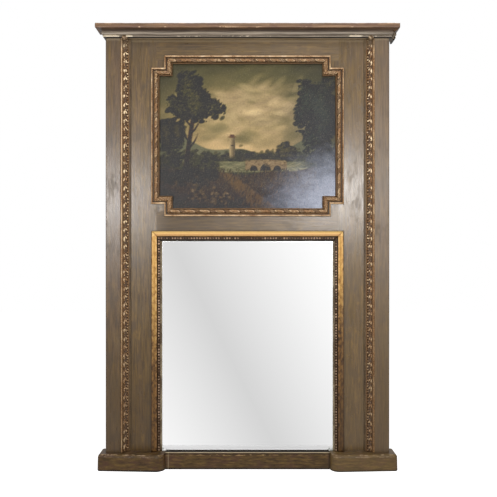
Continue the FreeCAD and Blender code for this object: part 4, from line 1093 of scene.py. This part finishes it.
def rounded_corner(corner, before, after, radius, count):
    """Points of an arc in place of a corner, going from the side of before to that of after."""
    corner, before, after = np.array(corner), np.array(before), np.array(after)
    first = (before - corner) / np.hypot(*(before - corner))
    second = (after - corner) / np.hypot(*(after - corner))
    half = math.acos(np.clip(first @ second, -1, 1)) / 2
    centre = corner + (first + second) / np.hypot(*(first + second)) * radius / math.sin(half)
    start = corner + first * radius / math.tan(half) - centre
    end = corner + second * radius / math.tan(half) - centre
    turn = math.atan2(start[0] * end[1] - start[1] * end[0], start @ end)
    points = []
    for i in range(count + 1):
        angle = turn * i / count
        spot = centre + (start[0] * math.cos(angle) - start[1] * math.sin(angle),
                         start[0] * math.sin(angle) + start[1] * math.cos(angle))
        points.append(spot)
    return points


def block_outline():
    """Plan of the right block, in millimetres, with how far its edge is rounded at each point."""
    low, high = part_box("plinth_block_right")
    inner, outer, back = low.x / MM, high.x / MM, high.y / MM - CLEAR_OF_CARCASS
    front = PILASTER_FACE_Y / MM
    corners = [(inner, back), (inner, front - NOSE_BACK), (outer, front - OUTER_BACK), (outer, back)]
    plan = [np.array(corners[0])]
    plan += rounded_corner(corners[1], corners[0], corners[2], NOSE_RADIUS, 16)
    plan += rounded_corner(corners[2], corners[1], corners[3], OUTER_RADIUS, 8)
    plan.append(np.array(corners[3]))
    points = []
    for first, second in zip(plan, plan[1:]):
        count = max(1, int(np.hypot(*(second - first)) / 5.0))
        points += [first + (second - first) * i / count for i in range(count)]
    points = np.array(points + [plan[-1]])
    rounding = np.where(points[:, 0] < inner + 0.01, 0.15, 1.0)
    rounding[0] = 0.0
    return points, rounding


def block_levels():
    """How far in, how high and how pale each level of a block is, from the foot up. The pale levels
    of the top rounding are chips low on it and a painted highlight higher up.
    """
    height = PLINTH_TOP / MM
    levels = [(1.2, CLEAR_OF_CARCASS, 0.0), (0.2, BATTER, 0.0), (0.0, FOOT_ROUNDING, 0.0)]
    straight = height - FOOT_ROUNDING - TOP_ROUNDING
    levels += [(BATTER * i / 8, FOOT_ROUNDING + straight * i / 8, 0.0) for i in range(1, 9)]
    # Chips on levels 2 and 3 of the top rounding, and a painted highlight on levels 6 to 8.
    chips_and_highlight = {2: 0.35, 3: 0.35, 6: 0.95, 7: 0.95, 8: 0.95}
    for i in range(1, 11):
        angle = math.pi / 2 * i / 10
        levels.append((BATTER + SHOULDER * (1 - math.cos(angle)),
                       height - TOP_ROUNDING + TOP_ROUNDING * math.sin(angle), chips_and_highlight.get(i, 0.1)))
    return levels


def build_blocks(material):
    plan, rounding = block_outline()
    ahead = np.gradient(plan, axis=0)
    normal = np.stack([ahead[:, 1], -ahead[:, 0]], 1)
    normal /= np.hypot(normal[:, 0], normal[:, 1])[:, None]
    levels = block_levels()
    for name, sign in (("left", -1), ("right", 1)):
        points, wear = [], []
        for inset, level, worn in levels:
            waves = (ripple(plan[:, 0], level * 0.7, sign) - 1.0) * 0.35 * rounding
            spots = plan - normal * ((inset - waves) * rounding)[:, None]
            points += [(sign * x, y, level) for x, y in spots]
            wear += [worn] * len(spots)
        shape = np.array(points) * MM, tube_faces(len(levels), len(plan)), {"wear": wear}
        if sign > 0:
            shape = turned_over(shape)
        node = "plinth_block_" + name
        make_piece(node + "_knocked", shape, node, material)

# ---------------------------------------------------------------- the painted picture

def smooth(value, low, high):
    """0 below low and 1 above high, with a soft rise between."""
    share = np.clip((value - low) / (high - low), 0, 1)
    return share * share * (3 - 2 * share)


def even(low, high):
    """Draws a number anywhere from low to high."""
    return lambda rng: rng.uniform(low, high)


def around(middle, spread):
    """Draws a number near the middle."""
    return lambda rng: rng.normal(middle, spread)


def placed(across, up):
    """Draws a place for one stroke."""
    return lambda rng: (across(rng), up(rng))


class Panel:
    """A picture painted in short strokes. x runs 0 to 1 across, y 0 to 1 up."""

    def __init__(self, width, height, columns, rows, seed):
        self.aspect = width / height
        self.columns, self.rows = columns, rows
        self.x, self.y = np.meshgrid(np.linspace(0, 1, columns), np.linspace(0, 1, rows))
        self.colour = np.zeros((rows, columns, 3))
        self.rng = np.random.default_rng(seed)

    def wash(self, mask, colour):
        """One colour over the whole picture, as strong as the mask is at each place."""
        self.colour += (np.array(colour, float) - self.colour) * mask[..., None]

    def window(self, x, y, reach):
        """The rows and columns within reach of a place."""
        tall = reach * self.aspect
        left, right = (int((x + side * reach) * (self.columns - 1)) for side in (-1, 1))
        foot, top = (int((y + side * tall) * (self.rows - 1)) for side in (-1, 1))
        return (slice(max(0, foot), max(0, min(self.rows, top + 2))),
                slice(max(0, left), max(0, min(self.columns, right + 2))))

    def stroke(self, x, y, length, width, turn, colour, strength):
        """One soft oval touch of colour."""
        window = self.window(x, y, max(length, width) * 1.3)
        across = self.x[window] - x
        up = (self.y[window] - y) / self.aspect
        away = np.hypot((across * math.cos(turn) + up * math.sin(turn)) / length,
                        (up * math.cos(turn) - across * math.sin(turn)) / width)
        mask = np.clip(1.25 - away, 0, 1) ** 0.6 * strength * (away < 1.25)
        painted = self.colour[window]
        painted += (np.array(colour, float) - painted) * mask[..., None]

    def scatter(self, count, spot, length, width, turn, colours, strength):
        """Many strokes. Each one's place, colour, size and turn are drawn afresh."""
        for _ in range(count):
            x, y = spot(self.rng)
            colour = np.array(colours[self.rng.integers(len(colours))], float)
            colour = colour * self.rng.uniform(0.9, 1.1)
            size = self.rng.uniform(0.7, 1.3)
            self.stroke(x, y, length * size, width * size, turn + self.rng.normal(0, 0.35), colour, strength)


def tree_crown(panel, x, y, wide, tall, dark, light, count):
    """A crown of leaves: dark clumps first, then lighter touches towards the upper left."""
    clumps = [(panel.rng.normal(0, 0.42), panel.rng.normal(0, 0.40)) for _ in range(16)]

    def spot(rng):
        clump = clumps[rng.integers(len(clumps))]
        across, up = np.clip(rng.normal(0, 0.2, 2), -0.36, 0.36)
        return x + (clump[0] + across) * wide, y + (clump[1] + up) * tall

    def lit_spot(rng):
        clump = clumps[rng.integers(len(clumps))]
        across, up = rng.normal(-0.08, 0.14), rng.normal(0.10, 0.12)
        return x + (clump[0] + across) * wide, y + (clump[1] + up) * tall

    panel.scatter(count, spot, 0.014, 0.008, 0.4, dark, 0.8)
    panel.scatter(count, spot, 0.007, 0.004, 0.6, dark, 0.8)
    panel.scatter(count, lit_spot, 0.006, 0.0035, 0.5, light, 0.55)


def trunk(panel, x, y, lean, tall, thick, colour):
    """A leaning trunk with five rising branches, to the right and left by turns."""
    colour = np.array(colour)
    for i in range(40):
        share = i / 39
        panel.stroke(x + lean * share ** 1.3, y + tall * share, thick * (1 - 0.6 * share), 0.012,
                     1.5, colour * (0.8 + 0.4 * (i % 3) / 2), 0.9)
    for k in range(5):
        share = 0.45 + 0.11 * k
        side = -1 if k % 2 else 1
        for i in range(32):
            out = i / 4
            branch_x = x + lean * share ** 1.3 + side * 0.007 * out
            branch_y = y + tall * share + 0.004 * out + 0.0011 * out ** 2
            panel.stroke(branch_x, branch_y, thick * 0.30 * (1 - out / 9), 0.005,
                         0.9 * side, colour * 0.9, 0.8)


def paint_sky(panel):
    """A dull evening sky, lightest low down, with drifting clouds."""
    top = smooth(panel.y, 0.45, 1.0)
    panel.wash(np.ones_like(top), (182, 160, 114))
    panel.wash(top * 0.95, (104, 102, 64))
    glow = 1 - np.hypot(panel.x - 0.46, (panel.y - 0.58) * 1.1)
    panel.wash(smooth(glow, 0.50, 1.0) * 0.85, (214, 188, 142))
    panel.wash(smooth(panel.x, 0.55, 1.0) * 0.5, (92, 92, 74))
    panel.scatter(420, placed(even(0, 1), even(0.45, 1)), 0.06, 0.02, 0.1,
                  [(128, 122, 80), (150, 140, 98), (112, 110, 72)], 0.16)
    panel.scatter(260, placed(around(0.55, 0.14), around(0.70, 0.07)), 0.045, 0.014, 0.15,
                  [(204, 184, 140), (186, 166, 126), (168, 150, 116)], 0.25)


def paint_distance(panel):
    """Two ridges, the woods along the nearer one, and a lake."""
    ridge = 0.44 + 0.05 * np.sin(panel.x * 7 + 1) + 0.025 * np.sin(panel.x * 17)
    panel.wash(smooth(ridge - panel.y, 0, 0.012) * 0.85, (122, 124, 98))
    nearer = 0.375 + 0.035 * np.sin(panel.x * 9 + 3.4) + 0.012 * np.sin(panel.x * 31)
    panel.wash(smooth(nearer - panel.y, 0, 0.01) * 0.9, (92, 92, 62))
    panel.scatter(500, placed(even(0, 1), around(0.36, 0.022)), 0.012, 0.008, 0.5,
                  [(70, 72, 46), (88, 86, 54), (104, 98, 62), (60, 60, 42)], 0.6)
    lake = smooth(0.335 - panel.y, 0, 0.008) * smooth(panel.y - 0.255, 0, 0.01)
    lake = lake * smooth(panel.x, 0.30, 0.40) * (1 - smooth(panel.x, 0.78, 0.86))
    panel.wash(lake * 0.85, (150, 146, 112))
    panel.scatter(220, placed(even(0.34, 0.82), even(0.26, 0.33)), 0.03, 0.003, 0.0,
                  [(176, 168, 130), (112, 112, 84), (134, 130, 98)], 0.4)


def paint_tower(panel):
    """A small round tower on the far bank."""
    for i in range(26):
        column = i % 13
        tone = 186 - 5.5 * column
        panel.stroke(0.402 + 0.0022 * column, 0.425, 0.052, 0.003, math.pi / 2,
                     (tone, tone * 0.9, tone * 0.68), 0.8)
    panel.stroke(0.415, 0.497, 0.021, 0.006, 0.0, (128, 96, 66), 0.9)
    panel.stroke(0.415, 0.507, 0.013, 0.006, 0.0, (110, 78, 54), 0.9)
    panel.stroke(0.415, 0.440, 0.003, 0.007, math.pi / 2, (60, 50, 36), 0.9)


def paint_bridge(panel):
    """A low stone bridge of three arches."""
    deck = smooth(0.348 - panel.y - 0.9 * (panel.x - 0.60) ** 2, 0, 0.006)
    deck = deck * smooth(panel.y - 0.272, 0, 0.005)
    deck = deck * smooth(panel.x, 0.485, 0.492) * (1 - smooth(panel.x, 0.715, 0.722))
    panel.wash(deck * 0.95, (158, 138, 104))
    for middle, half in ((0.535, 0.022), (0.60, 0.030), (0.665, 0.022)):
        hole = 1 - smooth(np.hypot((panel.x - middle) / half, (panel.y - 0.272) / (half * 1.55)), 0.9, 1.05)
        panel.wash(hole * smooth(panel.y - 0.268, 0, 0.004) * 0.95, (70, 66, 48))
    panel.scatter(140, placed(even(0.49, 0.715), even(0.30, 0.345)), 0.008, 0.003, 0.0,
                  [(182, 162, 124), (130, 110, 80), (112, 96, 70)], 0.4)


def paint_ground(panel):
    """The near bank, with a path, grass, stones and dark lower corners."""
    bank = 0.275 + 0.02 * np.sin(panel.x * 6 + 2) + 0.008 * np.sin(panel.x * 23)
    shore = smooth(bank - panel.y, 0, 0.012)
    panel.wash(shore, (104, 88, 54))
    panel.wash(shore * smooth(0.16 - panel.y, -0.06, 0.14) * 0.75, (66, 50, 34))
    path = smooth(0.09 - np.abs(panel.x - 0.52 + (panel.y - 0.1) * 0.9) - panel.y * 0.18, 0, 0.03)
    panel.wash(path * shore * 0.6, (150, 124, 84))
    panel.scatter(1300, placed(even(0, 1), even(0, 0.28)), 0.012, 0.003, 1.3,
                  [(118, 104, 60), (88, 78, 44), (72, 58, 36), (134, 112, 68), (60, 56, 38)], 0.5)
    panel.scatter(60, placed(around(0.30, 0.06), around(0.11, 0.03)), 0.010, 0.006, 0.1,
                  [(132, 116, 92), (98, 86, 68), (150, 132, 104)], 0.75)
    left_corner = smooth(0.30 - panel.x - panel.y, 0, 0.3)
    right_corner = smooth(panel.x - panel.y * 0.6 - 0.72, 0, 0.3)
    panel.wash(np.maximum(left_corner, right_corner) * 0.75, (48, 42, 32))


def paint_trees(panel):
    """Tall trees at both sides, smaller ones between, and bushes on the left bank."""
    trunk(panel, 0.155, 0.22, 0.05, 0.45, 0.016, (74, 56, 38))
    tree_crown(panel, 0.20, 0.76, 0.15, 0.17, [(52, 56, 34), (66, 68, 40), (44, 46, 32)],
               [(112, 108, 62), (128, 120, 72), (92, 92, 54)], 900)
    tree_crown(panel, 0.08, 0.50, 0.08, 0.14, [(46, 48, 32), (58, 60, 38)],
               [(96, 92, 54), (108, 100, 62)], 420)
    trunk(panel, 0.905, 0.18, -0.04, 0.55, 0.015, (56, 46, 38))
    tree_crown(panel, 0.89, 0.66, 0.13, 0.30, [(44, 50, 50), (52, 58, 56), (60, 66, 60), (38, 42, 44)],
               [(88, 96, 84), (104, 106, 84), (76, 84, 80)], 1500)
    tree_crown(panel, 0.96, 0.30, 0.10, 0.14, [(44, 44, 38), (54, 54, 44)], [(78, 80, 66)], 380)
    tree_crown(panel, 0.72, 0.40, 0.05, 0.06, [(58, 58, 38), (72, 70, 44)],
               [(120, 112, 68), (104, 98, 60)], 220)
    panel.scatter(500, placed(even(0.0, 0.34), around(0.24, 0.03)), 0.011, 0.007, 0.6,
                  [(56, 54, 34), (74, 70, 42), (96, 88, 52), (44, 42, 30)], 0.7)


def paint_age(panel):
    """Old varnish: stronger darks, duller colours, and darkening towards the corners; then a blue-grey
    painted sheen over the lower right.
    """
    panel.colour = 255 * np.clip(panel.colour / 255, 0, 1) ** 1.35
    panel.colour = np.clip(80 + (panel.colour - 96) * 1.44, 6, 255)
    grey = panel.colour.mean(-1, keepdims=True)
    panel.colour = grey + (panel.colour - grey) * 0.74 + np.array((0, 0, 5))
    away = np.hypot((panel.x - 0.48) * 1.1, panel.y - 0.52)
    panel.wash(smooth(away, 0.42, 0.78) * 0.5, (34, 32, 24))
    # Blue-grey painted sheen over the lower right.
    panel.wash(smooth(panel.x, 0.60, 0.95) * (1 - smooth(panel.y, 0.60, 0.95)) * 0.25, (66, 70, 76))


PAINTERS = (paint_sky, paint_distance, paint_tower, paint_bridge, paint_ground, paint_trees, paint_age)
CANVAS_COLUMNS, CANVAS_ROWS = 337, 278
CANVAS_SAG = 0.6 * MM
CANVAS_THICKNESS = 0.9 * MM
BARE_CANVAS = (0.32, 0.2752, 0.1984)


def canvas_face(low, high):
    """The painted face as points, faces and colours, and the grid of its points."""
    panel = Panel(high.x - low.x, high.z - low.z, CANVAS_COLUMNS, CANVAS_ROWS, 5)
    for painter in PAINTERS:
        painter(panel)
    sag = CANVAS_SAG * np.sin(panel.x * math.pi) * np.sin(panel.y * math.pi)
    across = low.x + panel.x * (high.x - low.x)
    up = low.z + panel.y * (high.z - low.z)
    points = np.stack([across, low.y + sag, up], -1)
    grid = np.arange(CANVAS_ROWS * CANVAS_COLUMNS).reshape(CANVAS_ROWS, CANVAS_COLUMNS)
    quads = np.stack([grid[:-1, :-1], grid[:-1, 1:], grid[1:, 1:], grid[1:, :-1]], -1)
    colours = linear(np.clip(panel.colour, 0, 255) / 255)
    return points.reshape(-1, 3), quads.reshape(-1, 4).tolist(), colours.reshape(-1, 3), grid


def build_canvas(material):
    """The canvas with its picture, folded back over the stretcher's four edges."""
    low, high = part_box("painted_canvas")
    points, faces, colours, grid = canvas_face(low, high)
    for edge in (grid[0], grid[:, -1], grid[-1][::-1], grid[::-1, 0]):
        fold = points[edge].copy()
        fold[:, 1] = high.y
        base = len(points)
        points = np.concatenate([points, fold])
        colours = np.concatenate([colours, np.full((len(edge), 3), BARE_CANVAS)])
        faces += [[base + i, base + i + 1, int(edge[i + 1]), int(edge[i])] for i in range(len(edge) - 1)]
    colours = np.concatenate([colours, np.ones((len(colours), 1))], 1)
    piece = make_piece("landscape_canvas", (points, faces, {"picture": colours}), "painted_canvas",
                       material)
    thick = piece.modifiers.new("thickness", "SOLIDIFY")
    thick.thickness = CANVAS_THICKNESS
    thick.offset = -1

# ---------------------------------------------------------------- CAD nodes that keep their shape

def dress(node, material):
    """A finish in place of the node's own material."""
    piece = NODES[node]
    piece.data.materials.clear()
    piece.data.materials.append(material)


def dress_nodes():
    """Each node's finish, by the start of its name. Where two starts fit, the later one holds."""
    upright = aged_paint("aged_paint_upright", "z")
    # Painted light pales the right parts of some finishes, and painted shade darkens the middle rail's left
    # part.
    right_upright = aged_paint("aged_paint_right_upright", "z", tint=0.1, dull=-0.03, foot=0.36,
                               lit_right=0.09)
    frieze = aged_paint("aged_paint_frieze", "x", lit_right=0.16)
    middle = aged_paint("aged_paint_middle_rail", "x", tint=0.1, shaded_left=0.48, dull_left=0.24,
                        lit_right=0.12)
    lower = aged_paint("aged_paint_lower_rail", "x")
    pilaster = aged_paint("aged_paint_pilaster", "z", tint=1.0, arris=True)
    right_pilaster = aged_paint("aged_paint_right_pilaster", "z", tint=0.9, arris=True, dull=0.09,
                                foot=0.58, lit_right=0.09)
    pine_up = bare_pine("pine_upright", "z")
    pine_level = bare_pine("pine_level", "x")
    brass = old_metal("old_brass", shade(120, 92, 50), shade(176, 142, 84), 0.9, 0.32)
    steel = old_metal("old_steel", shade(70, 64, 58), shade(128, 124, 118), 0.8, 0.40)
    finishes = {
        "field_stile": upright, "spandrel": upright, "pilaster": pilaster,
        "field_stile_right": right_upright, "pilaster_right": right_pilaster,
        "frieze_rail": frieze, "middle_rail": middle, "lower_rail": lower,
        "cornice_backing": lit_packing_paint("lit_packing_paint"),
        "base_rail": plinth_paint("ledge_paint", ledge=True),
        "mirror_plate": silvered_glass("silvered_glass"),
        "mirror_back_plank": pine_up, "picture_back_board": pine_level, "glazing_blocks": pine_up,
        "stretcher": pine_level, "hanger_plate": brass, "hanger_ring": brass,
        "hanger_screws": steel, "back_board_screws": steel, "canvas_tacks": steel,
    }
    for node in NODES:
        for start, material in finishes.items():
            if node.startswith(start):
                dress(node, material)


# ---------------------------------------------------------------- studio

PHOTO_PIXELS = 497
FOCAL_PIXELS = 652.6
SHIFT_PIXELS = (1.0, 1.5)
SENSOR = 36.0
EYE_DISTANCE = 2.4
EYE_HEIGHT = 0.8049
FLOOR_HALF = 6.0
WORLD_LIGHT = 0.20


def build_camera():
    camera = bpy.data.cameras.new("camera")
    camera.lens = SENSOR * FOCAL_PIXELS / PHOTO_PIXELS
    camera.sensor_width = SENSOR
    camera.shift_x, camera.shift_y = (pixels / PHOTO_PIXELS for pixels in SHIFT_PIXELS)
    eye = bpy.data.objects.new("camera", camera)
    eye.location = (0, PILASTER_FACE_Y - EYE_DISTANCE, EYE_HEIGHT)
    eye.rotation_euler = (math.pi / 2, 0, 0)
    bpy.context.collection.objects.link(eye)
    bpy.context.scene.camera = eye


def soft_light(name, place, target, wide, tall, energy):
    light = bpy.data.lights.new(name, "AREA")
    light.shape = "RECTANGLE"
    light.size, light.size_y = wide, tall
    light.energy = energy
    lamp = bpy.data.objects.new(name, light)
    lamp.location = place
    lamp.rotation_euler = (Vector(target) - Vector(place)).to_track_quat("-Z", "Y").to_euler()
    lamp.visible_camera = False
    bpy.context.collection.objects.link(lamp)


def build_world():
    """White to the camera and in reflections, and a low, even light on the object."""
    world = bpy.data.worlds.new("studio")
    sky = Nodes(world)
    seen = sky.sum_of("MAXIMUM", sky.add("ShaderNodeLightPath", output="Is Camera Ray"),
                      sky.add("ShaderNodeLightPath", output="Is Glossy Ray"))
    level = sky.add("ShaderNodeMapRange", None, {0: seen, 3: WORLD_LIGHT, 4: 1.0})
    light = sky.add("ShaderNodeBackground", None, {"Color": WHITE, "Strength": level})
    sky.end("ShaderNodeOutputWorld", light)
    bpy.context.scene.world = world


def floor_finish():
    """Matt white that keeps the object's shadow, and plain white in reflections."""
    finish = Finish("white_floor")
    matt = finish.add("ShaderNodeBsdfDiffuse", None, {"Color": shade(220, 220, 220)})
    glow = finish.add("ShaderNodeEmission", None, {"Color": WHITE, "Strength": 0.90})
    white = finish.add("ShaderNodeEmission", None, {"Color": WHITE, "Strength": 1.0})
    both = finish.add("ShaderNodeAddShader", None, {0: matt, 1: glow})
    seen = finish.add("ShaderNodeLightPath", output="Is Camera Ray")
    shine = finish.add("ShaderNodeLightPath", output="Is Glossy Ray")
    viewed = finish.add("ShaderNodeMixShader", None, {0: seen, 1: matt, 2: both})
    finish.end("ShaderNodeOutputMaterial",
               finish.add("ShaderNodeMixShader", None, {0: shine, 1: viewed, 2: white}))
    return finish.material


def build_floor():
    mesh = bpy.data.meshes.new("floor")
    corners = [(x * FLOOR_HALF, y * FLOOR_HALF, 0) for x, y in ((-1, -1), (1, -1), (1, 1), (-1, 1))]
    mesh.from_pydata(corners, [], [(0, 1, 2, 3)])
    mesh.materials.append(floor_finish())
    floor = bpy.data.objects.new("floor", mesh)
    bpy.context.collection.objects.link(floor)


def build_studio():
    build_camera()
    bpy.context.scene.view_settings.view_transform = "Standard"
    build_world()
    build_floor()
    soft_light("left_box", (-1.10, -2.75, 1.19), (-0.2, 0, 0.9), 0.55, 0.34, 28)
    soft_light("right_box", (0.70, -2.75, 1.26), (0.2, 0, 0.95), 0.62, 0.26, 32)
    soft_light("top_light", (0.3, -1.5, 3.2), (0, 0, 0.8), 2.4, 1.2, 34)


build_studio()
dress_nodes()
build_strips(carved_paint("leaf_carving", gold=1.0, deep=0.80, plain=0.815))
build_picture_frame(carved_paint("ribbon_carving", gold=0.40))
build_blocks(plinth_paint("plinth_paint"))
build_mirror_frame(gilding("worn_gilding"), beaded_paint("beaded_paint"))
build_cornice(cornice_paint("cornice_paint"), cornice_paint("cornice_side_paint", specular=0.08))
build_canvas(oil_painting("oil_painting"))
